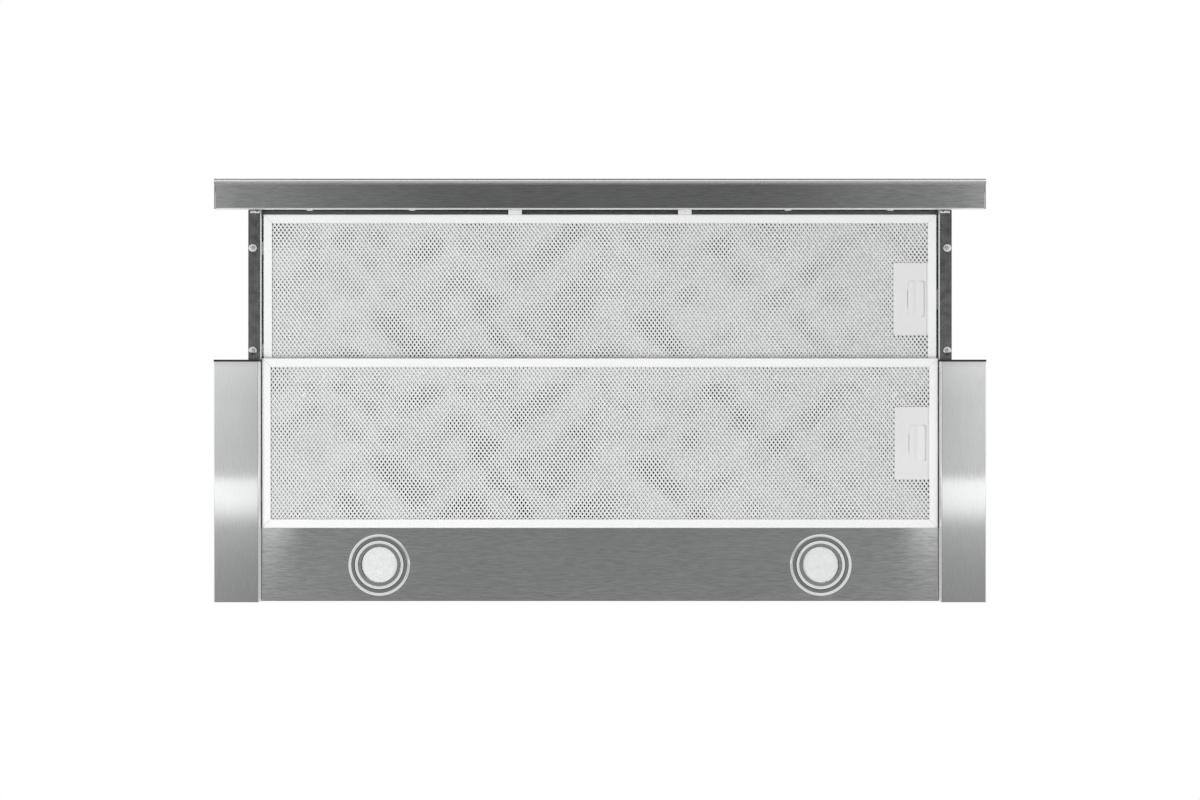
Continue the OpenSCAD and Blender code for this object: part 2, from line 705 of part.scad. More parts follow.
// Front panel, hooked back along its bottom as a lip and along its top as a flange
module fascia_lip() color("silver") difference() {
    y1 = fascia_front + lip_d;
    union() {
        slab([-half_w, half_w], [fascia_front, fascia_front + panel_t],
            [lift(lip_up), lift(fascia_top)]);
        slab([-half_w, half_w], [fascia_front, y1], [lift(lip_up), lift(lip_up + panel_t)]);
        slab([-half_w, half_w], [y1 - panel_t, y1], [lift(lip_up), lift(lip_hook_up)]);
        slab([-half_w, half_w], [fascia_front, fascia_back],
            [lift(fascia_top) - sheet, lift(fascia_top)]);
    }
    for (i = [0:buttons - 1]) translate([button_x(i), fascia_front, lift(button_up)])
        slab([-button_w / 2 - hair, button_w / 2 + hair], [-cut, panel_t + cut],
            [-button_h / 2 - hair, button_h / 2 + hair]);
}

// Cross member behind the fascia
module front_rail() color("gray") difference() {
    slab([-arm_out, arm_out], [rail_face - arm_t, rail_face], [lift(sheet), lift(fascia_top) - sheet]);
    fascia_holes(rail_face - arm_t - cut, arm_t + 2 * cut);
    for (s = [-1, 1]) side(s) translate([arm_tab_screw, rail_face - arm_t - cut,
        lift(arm_tab_screw_up)]) rotate([-90, 0, 0])
            cylinder(r = tapping_r + screw_clear, h = arm_t + 2 * cut, $fn = 24);
}

// Cross member behind the front filter, folded forward under the deck
rear_rail_y = front_filter_y + filter_d + 1.2;
module rear_rail() color("gray") {
    slab([-arm_in, arm_in], [rear_rail_y, rear_rail_y + arm_t],
        [lift(front_filter_up), lift(deck_up)]);
    slab([-arm_in, arm_in], [rear_rail_y - rear_rail_fold, rear_rail_y + arm_t],
        [lift(deck_up) - arm_t, lift(deck_up)]);
}

front_mid = front_filter_y + filter_d / 2;

// L-shaped arm: flange under the slide, web beside the filter, tab screwed to the front rail
module arm(s) side(s) color("dimgray") difference() {
    low = lift(arm_up);
    union() {
        slab([arm_in, arm_out], [rail_face, arm_rear], [low, low + arm_t]);
        slab([arm_in, arm_in + arm_t], [rail_face, arm_rear], [low, lift(deck_up)]);
        slab([arm_in, arm_out], [rail_face, rail_face + arm_t], [low, lift(deck_up)]);
    }
    for (y = arm_screw_ys()) translate([rail_c, y, low - cut])
        cylinder(r = screw_r + screw_clear, h = arm_t + 2 * cut, $fn = 32);
    translate([arm_tab_screw, rail_face - cut, lift(arm_tab_screw_up)]) rotate([-90, 0, 0])
        cylinder(r = tapping_r + screw_clear, h = arm_t + 2 * cut, $fn = 24);
    // Slots for the filter's tabs on the left and for its latch on the right
    for (y = s < 0 ? [front_mid - tab_span / 2, front_mid + tab_span / 2] : [front_mid]) {
        wide = s < 0 ? tab_w : tongue_w;
        slab([arm_in - cut, arm_in + arm_t + cut], [y - wide / 2 - tongue_gap, y + wide / 2 + tongue_gap],
            [lift(front_filter_up + tab_up - 0.2), lift(front_filter_up + tab_up + tab_t + 0.3)]);
    }
}
module left_arm() arm(-1);
module right_arm() arm(1);

module drawer_deck() color("silver") {
    x = arm_in + arm_t - 0.2;
    slab([-x, x], [rail_face, rear_rail_y + deck_overlap], [lift(deck_up), lift(deck_up + sheet)]);
}

// White blocks that keep the front filter off the fascia
module filter_stops() color("white")
    for (s = [-1, 1]) side(s)
        slab([fascia_screw_first - stop_half, fascia_screw_first + stop_half],
            [rail_face, front_filter_y],
            [lift(front_filter_up), lift(front_filter_up + filter_t - 1)]);

module fascia_screws() color("silver")
    for (x = fascia_screw_xs()) translate([x, fascia_back, lift(fascia_screw_up)])
        rotate([90, 0, 0]) screw(4.4, 1.8, tapping_r, 5);

// Pan-head screws up into the slides, and one through each arm's tab
module arm_screws() color("silver") for (s = [-1, 1]) side(s) {
    for (y = arm_screw_ys()) translate([rail_c, y, lift(arm_up)])
        screw(4.75, 2.2, screw_r, arm_t + rail_t + 2);
    translate([arm_tab_screw, rail_face + arm_t, lift(arm_tab_screw_up)]) rotate([90, 0, 0])
        screw(3.2, 1.8, tapping_r, 5);
}

housing_y = fascia_front + panel_t;
module control_housing() color("black") difference() {
    x = (buttons - 1) / 2 * button_pitch + 22;
    slab([-x, x], [housing_y, housing_y + button_len + button_travel + 2.1],
        [lift(button_up) - button_h, lift(button_up) + button_h]);
    for (i = [0:buttons - 1]) translate([button_x(i), housing_y, lift(button_up)])
        slab([-button_w / 2 - hair, button_w / 2 + hair], [-cut, button_len - button_proud + button_travel],
            [-button_h / 2 - hair, button_h / 2 + hair]);
}

module push_button(i) color("black") translate([button_x(i), fascia_front, lift(button_up)])
    slab([-button_w / 2, button_w / 2], [-button_proud, button_len - button_proud],
        [-button_h / 2, button_h / 2]);
module light_button() push_button(0);
module off_button() push_button(1);
module low_button() push_button(2);
module medium_button() push_button(3);
module high_button() push_button(4);

// ---- Grease filters ----
// A cassette starts at y, with its underside at height up.

// Folded channel frame with two tabs on the left and a notch for the latch on the right
module filter_frame(y, up, reach) color("white") translate([0, y, lift(up)]) {
    difference() {
        slab([-filter_half, filter_half], [0, filter_d], [0, filter_t]);
        slab([-filter_half + bar_w, filter_half - bar_w], [bar_w, filter_d - bar_w],
            [-cut, filter_t + cut]);
        slab([-filter_half + lip_t, filter_half - lip_t], [lip_t, filter_d - lip_t],
            [lip_t, filter_t - lip_t]);
        slab([filter_half - bar_w - cut, filter_half + cut],
            [(filter_d - tongue_w) / 2 - tongue_gap, (filter_d + tongue_w) / 2 + tongue_gap],
            [tab_up - 0.3, filter_t + cut]);
    }
    for (t = [-1, 1]) translate([0, filter_d / 2 + t * tab_span / 2, tab_up])
        slab([-filter_half - reach, -filter_half + bar_w], [-tab_w / 2, tab_w / 2], [0, tab_t]);
}
module front_filter_frame() filter_frame(front_filter_y, front_filter_up, front_reach);
module rear_filter_frame() filter_frame(rear_filter_y, rear_filter_up, rear_reach);

latch_x1 = filter_half - bar_w;
latch_x0 = latch_x1 - latch_w;

// Pack of expanded metal, drawn as one open net with a cut-out for the latch
module filter_net(y, up) color("gainsboro") translate([0, y, lift(up) + lip_t + hair]) {
    pitch_x = 2 * (filter_half - bar_w) / (net_columns + 0.5);
    pitch_y = (filter_d - 2 * bar_w) / (net_rows + 1);
    a = pitch_x / 2 - net_strand;
    b = pitch_y - net_strand;
    linear_extrude(net_t) difference() {
        translate([-filter_half + 2, 2]) square([2 * filter_half - 4, filter_d - 4]);
        translate([latch_x0 - 0.3, filter_d / 2 - latch_len / 2 - 0.3])
            square([latch_w + bar_w, latch_len + 0.6]);
        for (r = [1:net_rows], c = [0:net_columns - 1]) {
            x = -filter_half + bar_w + pitch_x * (c + (r % 2 == 0 ? 1 : 0.5));
            v = bar_w + pitch_y * r;
            near_latch = x + a > latch_x0 - 3 && abs(v - filter_d / 2) - b < latch_len / 2 + 3;
            if (!near_latch) translate([x, v]) polygon([[a, 0], [0, b], [-a, 0], [0, -b]]);
        }
    }
}
module front_filter_mesh() filter_net(front_filter_y, front_filter_up);
module rear_filter_mesh() filter_net(rear_filter_y, rear_filter_up);

// Open-topped latch housing whose floor has the slot that the button's stem slides in
module latch_housing(y, up) color("whitesmoke") translate([0, y + filter_d / 2, lift(up)])
    difference() {
        slab([latch_x0, latch_x1], [-latch_len / 2, latch_len / 2], [latch_floor[0], filter_t - 1.2]);
        slab([latch_x0 + latch_wall, latch_x1 + cut],
            [latch_wall - latch_len / 2, latch_len / 2 - latch_wall], [latch_floor[1], filter_t]);
        slab([slider_mid - stem_size[0] / 2 - tongue_gap - latch_travel,
            slider_mid + stem_size[0] / 2 + tongue_gap],
            [-stem_size[1] / 2 - tongue_gap, stem_size[1] / 2 + tongue_gap], [-cut, latch_floor[1] + cut]);
    }
module front_latch_housing() latch_housing(front_filter_y, front_filter_up);
module rear_latch_housing() latch_housing(rear_filter_y, rear_filter_up);

// Button outside, slider inside, and the tongue that holds the cassette
module latch_button(y, up, reach) color("whitesmoke")
    translate([0, y + filter_d / 2, lift(up)]) {
        translate([slider_mid, 0, -1.6]) linear_extrude(1.9)
            round_rect(latch_button_w, latch_button_len, 3.5);
        translate([slider_mid - 0.5, 0, -2.2]) linear_extrude(1)
            round_rect(grip_w, latch_button_len - 8, 0.4 * grip_w);
        slab([slider_mid - stem_size[0] / 2, slider_mid + stem_size[0] / 2],
            [-stem_size[1] / 2, stem_size[1] / 2], [0, 4]);
        slab([slider_mid - slider_size[0] / 2, slider_mid + slider_size[0] / 2],
            [-slider_size[1] / 2, slider_size[1] / 2], [latch_floor[1] + hair, filter_t - 2]);
        slab([slider_mid, slider_mid + 9], [-tongue_w / 2, tongue_w / 2],
            [filter_t - 3, tab_up + tab_t]);
        slab([slider_mid, filter_half + reach], [-tongue_w / 2, tongue_w / 2],
            [tab_up, tab_up + tab_t]);
    }
module front_latch_button() latch_button(front_filter_y, front_filter_up, front_reach);
module rear_latch_button() latch_button(rear_filter_y, rear_filter_up, rear_reach);

chassis_tray();
motor_box();
left_pod_cover();
right_pod_cover();
left_pod_cap();
right_pod_cap();
lamp_panel();
left_lamp_bezel();
right_lamp_bezel();
left_lamp_lens();
right_lamp_lens();
left_led_housing();
right_led_housing();
lamp_clips();
led_driver();
left_outer_rail();
right_outer_rail();
left_ball_cage();
right_ball_cage();
left_inner_rail();
right_inner_rail();
scroll_left();
scroll_right();
impeller();
motor();
motor_bracket();
inlet_grille();
capacitor();
terminal_box();
cable_gland();
duct_collar();
front_flap();
rear_flap();
body_screws();
drawer_switch();
switch_plunger();
fascia();
fascia_lip();
front_rail();
rear_rail();
left_arm();
right_arm();
drawer_deck();
filter_stops();
fascia_screws();
arm_screws();
control_housing();
light_button();
off_button();
low_button();
medium_button();
high_button();
front_filter_frame();
front_filter_mesh();
front_latch_housing();
front_latch_button();
rear_filter_frame();
rear_filter_mesh();
rear_latch_housing();
rear_latch_button();
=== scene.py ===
# %% [markdown]
# # A pull-out range hood
#
# This hood hangs under a kitchen cabinet, and its filter drawer slides out over the hob. It is
# looked at from below, where the cook stands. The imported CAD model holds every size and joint.
# This lesson gives each piece the folds, edges and finish of the real one, and leaves the sizes
# alone. Geometry is worked out in millimetres, as on a drawing, and turned to metres in one place.

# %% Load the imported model
import json
import math

import bmesh
import bpy
from mathutils import Matrix, Vector


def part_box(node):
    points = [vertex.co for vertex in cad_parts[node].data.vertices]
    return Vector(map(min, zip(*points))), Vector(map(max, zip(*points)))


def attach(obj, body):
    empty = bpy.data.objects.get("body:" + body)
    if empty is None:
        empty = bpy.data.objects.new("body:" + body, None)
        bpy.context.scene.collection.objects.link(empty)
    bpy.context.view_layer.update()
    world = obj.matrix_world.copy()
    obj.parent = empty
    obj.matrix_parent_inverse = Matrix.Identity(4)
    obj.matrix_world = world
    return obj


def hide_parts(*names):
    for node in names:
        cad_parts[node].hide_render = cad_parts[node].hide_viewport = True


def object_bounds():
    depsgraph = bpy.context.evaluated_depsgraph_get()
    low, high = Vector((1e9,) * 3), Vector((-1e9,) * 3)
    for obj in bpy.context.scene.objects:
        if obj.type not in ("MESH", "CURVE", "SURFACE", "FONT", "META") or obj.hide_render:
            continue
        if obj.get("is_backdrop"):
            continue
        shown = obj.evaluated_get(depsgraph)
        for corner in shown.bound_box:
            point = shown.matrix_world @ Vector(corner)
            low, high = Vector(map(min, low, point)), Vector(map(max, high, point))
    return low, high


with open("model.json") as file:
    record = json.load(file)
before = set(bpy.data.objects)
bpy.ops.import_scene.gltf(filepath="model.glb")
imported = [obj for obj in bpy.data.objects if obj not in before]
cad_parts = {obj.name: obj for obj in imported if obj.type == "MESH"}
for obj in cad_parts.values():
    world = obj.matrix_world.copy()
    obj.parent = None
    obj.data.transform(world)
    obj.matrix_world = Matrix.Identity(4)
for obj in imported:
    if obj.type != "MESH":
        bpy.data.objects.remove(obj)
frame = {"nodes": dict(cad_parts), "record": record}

scene = bpy.context.scene
cad_low, cad_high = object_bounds()
MM = 0.001
body_of = {n: b for b, members in frame["record"]["behaviour"]["bodies"].items() for n in members}
slot_of = {s["node"]: s["material_slot"] for s in frame["record"]["subparts"]}


def box_mm(node):
    """Low and high corner of a CAD node at rest, in millimetres."""
    low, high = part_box(node)
    return low / MM, high / MM


print("CAD box in mm", [round(v / MM, 1) for v in (*cad_low, *cad_high)])

# %% [markdown]
# ## Camera
#
# The photograph looks straight up at the underside, with the front edge at the top of the picture.
# The sides of deep pieces lean outwards only a little, which puts the camera 2.8 m below. The lens
# then follows from the scale that the picture has at the lowest face.

# %% Camera
IMAGE_WIDTH = 1200
SCALE_PX_MM = 0.8606
DISTANCE = 2.8
VIEW_CENTRE_Y = -0.09405
underside = cad_low.z

lens_data = bpy.data.cameras.new("camera")
lens_data.sensor_width = 36
lens_data.lens = lens_data.sensor_width * SCALE_PX_MM * DISTANCE / MM / IMAGE_WIDTH
camera = bpy.data.objects.new("camera", lens_data)
camera.location = (0, VIEW_CENTRE_Y, underside - DISTANCE)
camera.rotation_euler = (math.pi, 0, 0)
scene.collection.objects.link(camera)
scene.camera = camera
scene.view_settings.view_transform = "Standard"
print("lens", round(lens_data.lens, 2), "mm")

# %% [markdown]
# ## Colours and nodes
#
# Colours are written as sRGB hex, the way a paint card gives them, and shaders want them linear.
# One function does that. One adds a node with its settings and one fills its sockets, so that each
# material below reads as a short recipe.

# %% Helpers for materials
def colour(hex_code):
    parts = [int(hex_code[i:i + 2], 16) / 255 for i in (1, 3, 5)]
    linear = [p / 12.92 if p <= 0.04045 else ((p + 0.055) / 1.055) ** 2.4 for p in parts]
    return (*linear, 1.0)


def connect(node, inputs):
    """Fills sockets, by name or number, from a value, an output, or a node's first output."""
    for socket, value in inputs.items():
        source = value.outputs[0] if isinstance(value, bpy.types.Node) else value
        if isinstance(source, bpy.types.NodeSocket):
            node.id_data.links.new(source, node.inputs[socket])
        else:
            node.inputs[socket].default_value = source


def add(tree, kind, inputs=None, stops=None, **settings):
    """Adds a node with its settings, its inputs and, for a ramp, its stops."""
    node = tree.nodes.new(kind)
    for name, value in settings.items():
        setattr(node, name, value)
    connect(node, inputs or {})
    if stops:
        elements = node.color_ramp.elements
        elements[0].position, elements[0].color = stops[0]
        elements[-1].position, elements[-1].color = stops[-1]
        for place, shade in stops[1:-1]:
            elements.new(place).color = shade
    return node


def greys(*stops):
    """Stops of a ramp of greys from pairs of place and level."""
    return [(place, (level, level, level, 1)) for place, level in stops]


def start_material(name):
    material = bpy.data.materials.new(name)
    material.use_nodes = True
    return material, material.node_tree, material.node_tree.nodes["Principled BSDF"]


def per_metre(size_mm):
    """Noise scale at which one feature measures size_mm."""
    return 1 / (size_mm * MM)


print("white is", colour("#FFFFFF"))

# %% [markdown]
# ## Room
#
# The photograph is lit like a catalogue picture: an even white room with no visible floor line.
# A white world does that. Camera and mirror rays see it at exactly white, and the light that it
# gives to matt surfaces is only half of that, so that white paint keeps its shading. The floor
# below is pale too, and shows as bright as the room to the camera and in the metal.

# %% World and floor
ROOM_LIGHT = 0.5
FLOOR_BELOW = 3.8
FLOOR_REACH = 40
FLOOR_SEEN = 0.48

world = bpy.data.worlds.new("white_room")
world.use_nodes = True
scene.world = world
room = world.node_tree
room.nodes.clear()


def seen(tree, unseen, level):
    """A strength that is level for camera, mirror and glass rays, and unseen for all others."""
    ray = add(tree, "ShaderNodeLightPath")
    view = ray.outputs["Is Camera Ray"]
    for kind in ("Is Glossy Ray", "Is Transmission Ray"):
        view = add(tree, "ShaderNodeMath", {0: view, 1: ray.outputs[kind]}, operation="MAXIMUM")
    return add(tree, "ShaderNodeMapRange", {"Value": view, "To Min": unseen, "To Max": level})


strength = seen(room, ROOM_LIGHT, 1.0)
white = add(room, "ShaderNodeBackground", {"Color": (1, 1, 1, 1), "Strength": strength})
add(room, "ShaderNodeOutputWorld", {"Surface": white})


def sheet(name, below, half_x, front, rear):
    """A flat sheet that looks up at the hood from below metres under the cabinet."""
    mesh = bpy.data.meshes.new(name)
    corners = [(-half_x, front, 0), (half_x, front, 0), (half_x, rear, 0), (-half_x, rear, 0)]
    mesh.from_pydata(corners, [], [(0, 1, 2, 3)])
    flat = bpy.data.objects.new(name, mesh)
    flat.location = (0, 0, -below)
    scene.collection.objects.link(flat)
    return flat


floor = sheet("floor", FLOOR_BELOW, FLOOR_REACH, -FLOOR_REACH, FLOOR_REACH)
pale_paint, tree, surface = start_material("pale floor paint")
surface.inputs["Base Color"].default_value = colour("#F4F4F3")
surface.inputs["Roughness"].default_value = 0.9
surface.inputs["Emission Color"].default_value = (1, 1, 1, 1)
connect(surface, {"Emission Strength": seen(tree, 0.0, FLOOR_SEEN)})
floor.data.materials.append(pale_paint)
floor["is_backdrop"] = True
print("floor", FLOOR_BELOW, "m below the cabinet")

# %% [markdown]
# ## Studio lights
#
# Two soft boxes below the hood, outside the picture, give the white plastic its shading. The one
# on the left is stronger, because the latch buttons in the photograph are darker on their right.

# %% Soft boxes
def soft_box(name, place, size, power):
    data = bpy.data.lights.new(name, "AREA")
    data.shape = "SQUARE"
    data.size = size
    data.energy = power
    lamp = bpy.data.objects.new(name, data)
    lamp.location = place
    lamp.rotation_euler = (-Vector(place)).to_track_quat("-Z", "Y").to_euler()
    lamp.visible_camera = False
    lamp.visible_glossy = False
    scene.collection.objects.link(lamp)


soft_box("key_light", (-1.0, 0.4, -2.4), 0.9, 31)
soft_box("fill_light", (1.1, -0.3, -2.4), 1.4, 11)
print("two soft boxes")

# %% [markdown]
# ## What the steel reflects
#
# Brushed steel has little colour of its own, and shows the room. In the photograph the fascia is
# dark in the middle and the pods are bright with a hot line across them. A card of light below the
# hood gives the steel that to reflect: dark round the camera, bright far out at both sides and at
# the rear, with a hot step along Y in the wings that the pods see. Only mirror rays see it, so it
# lights nothing else and shows in no view. Its levels are pairs of a place and a brightness.

# %% Reflection card
CARD_BELOW = 1.6
CARD_HALF = 2.6
CARD_FRONT = -1.6
CARD_REAR = 1.8
SIDEWAYS_LEVELS = greys(
    (0.0, 0.2), (0.104, 0.205), (0.139, 0.235), (0.173, 0.29), (0.21, 0.335), (0.25, 0.41),
    (0.265, 0.53), (0.3, 0.56), (1.0, 0.56))
# The rear keeps a share of the front's levels and adds a lift. Behind it the card is even.
REAR_SHARE = 0.45
REAR_LIFT = 0.275
REAR_FROM = -0.1, 0.1
BEHIND_LEVEL = 0.62
BEHIND_FROM = 0.35, 0.45
# The wings add steps along Y, which span the depth of the card on both sides of its middle.
WING_LEVELS = greys(
    (0.0, 0.0), (0.355, 0.0), (0.366, 0.42), (0.385, 0.36), (0.42, 0.305), (0.5, 0.26), (0.53, 0.255),
    (0.537, 0.28), (0.543, 0.65), (0.575, 0.63), (0.592, 0.44), (0.603, 0.25), (0.615, 0.135),
    (0.64, 0.085), (0.665, 0.045), (0.72, 0.0), (1.0, 0.0))
WING_GAIN = 2.0
WING_FROM = 0.54, 0.59
WING_DEPTH = 0.6

card = sheet("reflection_card", CARD_BELOW, CARD_HALF, CARD_FRONT, CARD_REAR)
card_light = bpy.data.materials.new("card of light")
card_light.use_nodes = True
tree = card_light.node_tree
tree.nodes.clear()
place = add(tree, "ShaderNodeTexCoord").outputs["Object"]
axes = add(tree, "ShaderNodeSeparateXYZ", {0: place})
sideways = add(tree, "ShaderNodeMath", {0: axes.outputs["X"]}, operation="ABSOLUTE")
out = add(tree, "ShaderNodeMapRange", {"Value": sideways, "From Max": CARD_HALF})
front = add(tree, "ShaderNodeValToRGB", {"Fac": out}, stops=SIDEWAYS_LEVELS)
rear = add(tree, "ShaderNodeMath", {0: front, 1: REAR_SHARE, 2: REAR_LIFT}, operation="MULTIPLY_ADD")
middle = front
for level, (near, far) in ((rear, REAR_FROM), (BEHIND_LEVEL, BEHIND_FROM)):
    zone = add(tree, "ShaderNodeMapRange", {"Value": axes.outputs["Y"], "From Min": near, "From Max": far})
    middle = add(tree, "ShaderNodeMix", {0: zone, 2: middle, 3: level})
near, far = WING_FROM
wings = add(tree, "ShaderNodeMapRange", {"Value": sideways, "From Min": near, "From Max": far})
depth = add(tree, "ShaderNodeMapRange", {"Value": axes.outputs["Y"], "From Min": -WING_DEPTH,
                                         "From Max": WING_DEPTH})
steps = add(tree, "ShaderNodeValToRGB", {"Fac": depth}, stops=WING_LEVELS)
bright = add(tree, "ShaderNodeMath", {0: wings, 1: steps}, operation="MULTIPLY")
total = add(tree, "ShaderNodeMath", {0: bright, 1: WING_GAIN, 2: middle}, operation="MULTIPLY_ADD")
glow = add(tree, "ShaderNodeEmission", {"Strength": total})
add(tree, "ShaderNodeOutputMaterial", {"Surface": glow})
card.data.materials.append(card_light)
for kind in ("camera", "diffuse", "transmission", "volume_scatter", "shadow"):
    setattr(card, "visible_" + kind, False)
card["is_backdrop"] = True
print("card", CARD_BELOW, "m below the cabinet")

# %% [markdown]
# ## Brushed stainless steel
#
# The pods, the lamp strip and the fascia are stainless sheet, ground with an abrasive belt. The
# belt leaves fine parallel lines. They smear a reflection across the lines and keep it sharp along
# them, which is what makes a brushed face look silky. The shader does the same with anisotropy. Its
# tangent points across the lines: the cross product of the face's own normal and the line's
# direction. The belt reaches the face and the walls that look outward. The folds and the inner
# walls are rougher, and their colour is mixed towards near white as a painted highlight. The real
# lines are 0.05 mm wide, too fine to show here, so they are drawn 0.8 mm wide.

# %% Brushed stainless
LINE_WIDTH = 0.8
LINE_LENGTH = 12


def brushed_steel(name, along, dark, pale):
    """Stainless sheet with its lines along X or Y. dark and pale are the tones of single lines."""
    steel, tree, surface = start_material(name)
    place = add(tree, "ShaderNodeTexCoord").outputs["Object"]
    spacing = [per_metre(LINE_WIDTH)] * 3
    spacing["XYZ".index(along)] = per_metre(LINE_LENGTH)
    stretched = add(tree, "ShaderNodeMapping", {"Vector": place, "Scale": spacing})
    lines = add(tree, "ShaderNodeTexNoise", {"Vector": stretched, "Scale": 1.0, "Detail": 3.0,
                                             "Roughness": 0.6})
    clouds = add(tree, "ShaderNodeTexNoise", {"Vector": place, "Scale": per_metre(70), "Detail": 2.0})
    tint = add(tree, "ShaderNodeValToRGB", {"Fac": lines}, stops=[(0.3, colour(dark)), (0.7, colour(pale))])
    tone = add(tree, "ShaderNodeMapRange", {"Value": clouds, "From Min": 0.3, "From Max": 0.7,
                                            "To Min": 0.94, "To Max": 1.0})
    ground_face = add(tree, "ShaderNodeMix", {0: 1.0, 6: tint, 7: tone}, data_type="RGBA",
                      blend_type="MULTIPLY")
    polish = add(tree, "ShaderNodeMapRange", {"Value": lines, "From Min": 0.3, "From Max": 0.7,
                                              "To Min": 0.05, "To Max": 0.09})
    direction = {"X": (1, 0.02, 0.05), "Y": (0.02, 1, 0.05)}[along]
    normal = add(tree, "ShaderNodeNewGeometry").outputs["Normal"]
    across_axis, middle = ("Y", VIEW_CENTRE_Y) if along == "X" else ("X", 0)
    facing = add(tree, "ShaderNodeSeparateXYZ", {0: normal}).outputs[across_axis]
    offset = add(tree, "ShaderNodeSeparateXYZ", {0: place}).outputs[across_axis]
    offset = add(tree, "ShaderNodeMath", {0: offset, 1: middle}, operation="SUBTRACT")
    side = add(tree, "ShaderNodeMath", {0: offset}, operation="SIGN")
    outward = add(tree, "ShaderNodeMath", {0: facing, 1: side}, operation="MULTIPLY")
    faces_not_outward = add(tree, "ShaderNodeMapRange", {"Value": outward, "From Min": 0.93, "From Max": 0.99,
                                              "To Min": 1.0, "To Max": 0.25})
    lean = add(tree, "ShaderNodeMath", {0: facing}, operation="ABSOLUTE")
    dull = add(tree, "ShaderNodeMapRange", {"Value": lean, "From Min": 0.6, "From Max": 0.95,
                                            "To Min": 0.0, "To Max": 0.38})
    dull = add(tree, "ShaderNodeMath", {0: dull, 1: faces_not_outward}, operation="MULTIPLY")
    rough = add(tree, "ShaderNodeMath", {0: polish, 1: dull}, operation="ADD")
    # Faces that lean across the lines, the folds and inner walls, are mixed towards near white: a painted
    # highlight.
    painted_highlight_mask = add(tree, "ShaderNodeMapRange", {"Value": lean, "From Min": 0.3, "From Max": 0.55})
    painted_highlight_mask = add(tree, "ShaderNodeMath", {0: painted_highlight_mask, 1: faces_not_outward}, operation="MULTIPLY")
    shade = add(tree, "ShaderNodeMix", {0: painted_highlight_mask, 6: ground_face.outputs[2], 7: colour("#F2F2F2")},
                data_type="RGBA")
    ground = add(tree, "ShaderNodeBump", {"Height": lines, "Distance": 0.006 * MM})
    across = add(tree, "ShaderNodeVectorMath", {0: normal, 1: direction}, operation="CROSS_PRODUCT")
    surface.inputs["Metallic"].default_value = 1.0
    surface.inputs["Anisotropic"].default_value = 1.0
    connect(surface, {"Base Color": shade.outputs[2], "Roughness": rough, "Normal": ground,
                      "Tangent": across})
    return steel


steel_along_x = brushed_steel("stainless brushed along its length", "X", "#B2B3B4", "#D2D3D3")
steel_along_y = brushed_steel("stainless brushed front to back", "Y", "#BDBEBE", "#C9CACA")
print("brushed lines", LINE_WIDTH, "mm wide")

# %% [markdown]
# ## Sheet and bar metals
#
# The metals behind the fascia and in the pods have no ground finish. Each has the mark of how it
# was made: zinc crystals on galvanised sheet, draw lines on the rails, a cloudy phosphate coat
# on the arms, a grainy skin on die castings. One recipe covers them all: a pattern of a real size
# that moves the colour between two close tones, moves the roughness and stands up as a low bump.

# %% Metals
def metal(name, dark, pale, rough, size_mm, height_mm=0.02, stretch=(1, 1, 1), crystals=False,
          metallic=1.0, pale_within=None):
    """Metal whose pattern measures size_mm. rough is its lowest and highest roughness.

    The last argument is a distance from the middle plane. Nearer than that, the colour is near white.
    """
    finish, tree, surface = start_material(name)
    place = add(tree, "ShaderNodeTexCoord").outputs["Object"]
    drawn = add(tree, "ShaderNodeMapping", {"Vector": place, "Scale": stretch})
    if crystals:
        cells = add(tree, "ShaderNodeTexVoronoi", {"Vector": drawn, "Scale": per_metre(size_mm)})
        pattern = add(tree, "ShaderNodeSeparateColor", {0: cells.outputs["Color"]})
    else:
        noise = add(tree, "ShaderNodeTexNoise", {"Vector": drawn, "Scale": per_metre(size_mm),
                                                 "Detail": 3.0})
        pattern = add(tree, "ShaderNodeMapRange", {"Value": noise, "From Min": 0.32, "From Max": 0.68})
    tint = add(tree, "ShaderNodeValToRGB", {"Fac": pattern}, stops=[(0.0, colour(dark)), (1.0, colour(pale))])
    polish = add(tree, "ShaderNodeMapRange", {"Value": pattern, "To Min": rough[0], "To Max": rough[1]})
    relief = add(tree, "ShaderNodeBump", {"Height": pattern, "Distance": height_mm * MM})
    # Near the middle plane the colour is mixed to near white.
    if pale_within:
        sideways = add(tree, "ShaderNodeSeparateXYZ", {0: place}).outputs["X"]
        off_centre = add(tree, "ShaderNodeMath", {0: sideways}, operation="ABSOLUTE")
        pale_fold = add(tree, "ShaderNodeMapRange", {"Value": off_centre, "To Min": 1.0,
                                                "To Max": 0.0, "From Min": (pale_within - 0.2) * MM,
                                                "From Max": (pale_within + 0.2) * MM})
        tint = add(tree, "ShaderNodeMix", {0: pale_fold, 6: tint, 7: colour("#F4F4F4")},
                   data_type="RGBA").outputs[2]
    surface.inputs["Metallic"].default_value = metallic
    connect(surface, {"Base Color": tint, "Roughness": polish, "Normal": relief})
    return finish


# Hot-dip zinc freezes in crystals some 8 mm across, each with its own sheen.
galvanised = metal("galvanised steel sheet", "#A2A6A8", "#BBBFC1", (0.34, 0.52), 8, 0.004, crystals=True)
# Iron phosphate is a thin grey crystal coat with soft clouds in it. It is only part metallic. The
# arm's inner fold is given a near-white colour along its whole length.
phosphated = metal("phosphated steel", "#6B6C6E", "#828385", (0.22, 0.34), 9, 0.01, metallic=0.95,
                   pale_within=box_mm("right_arm")[0].x + 1.7)
# Bright zinc on roll-formed strip keeps the lines of the rolls.
zinc_plate = metal("bright zinc on rolled strip", "#A9AFB5", "#C9CED2", (0.24, 0.36), 2, 0.01, (1, 0.04, 1))
# Hardened and polished balls in a plated cage. Only the faintest haze breaks the mirror.
bearing_steel = metal("polished bearing steel", "#B9BBBD", "#CDCFD0", (0.12, 0.2), 1.5, 0.002)
# Zinc-aluminium castings keep the fine skin of the die, and look dull and grainy.
die_cast = metal("die-cast aluminium", "#85888A", "#A1A4A6", (0.45, 0.6), 0.9, 0.03)
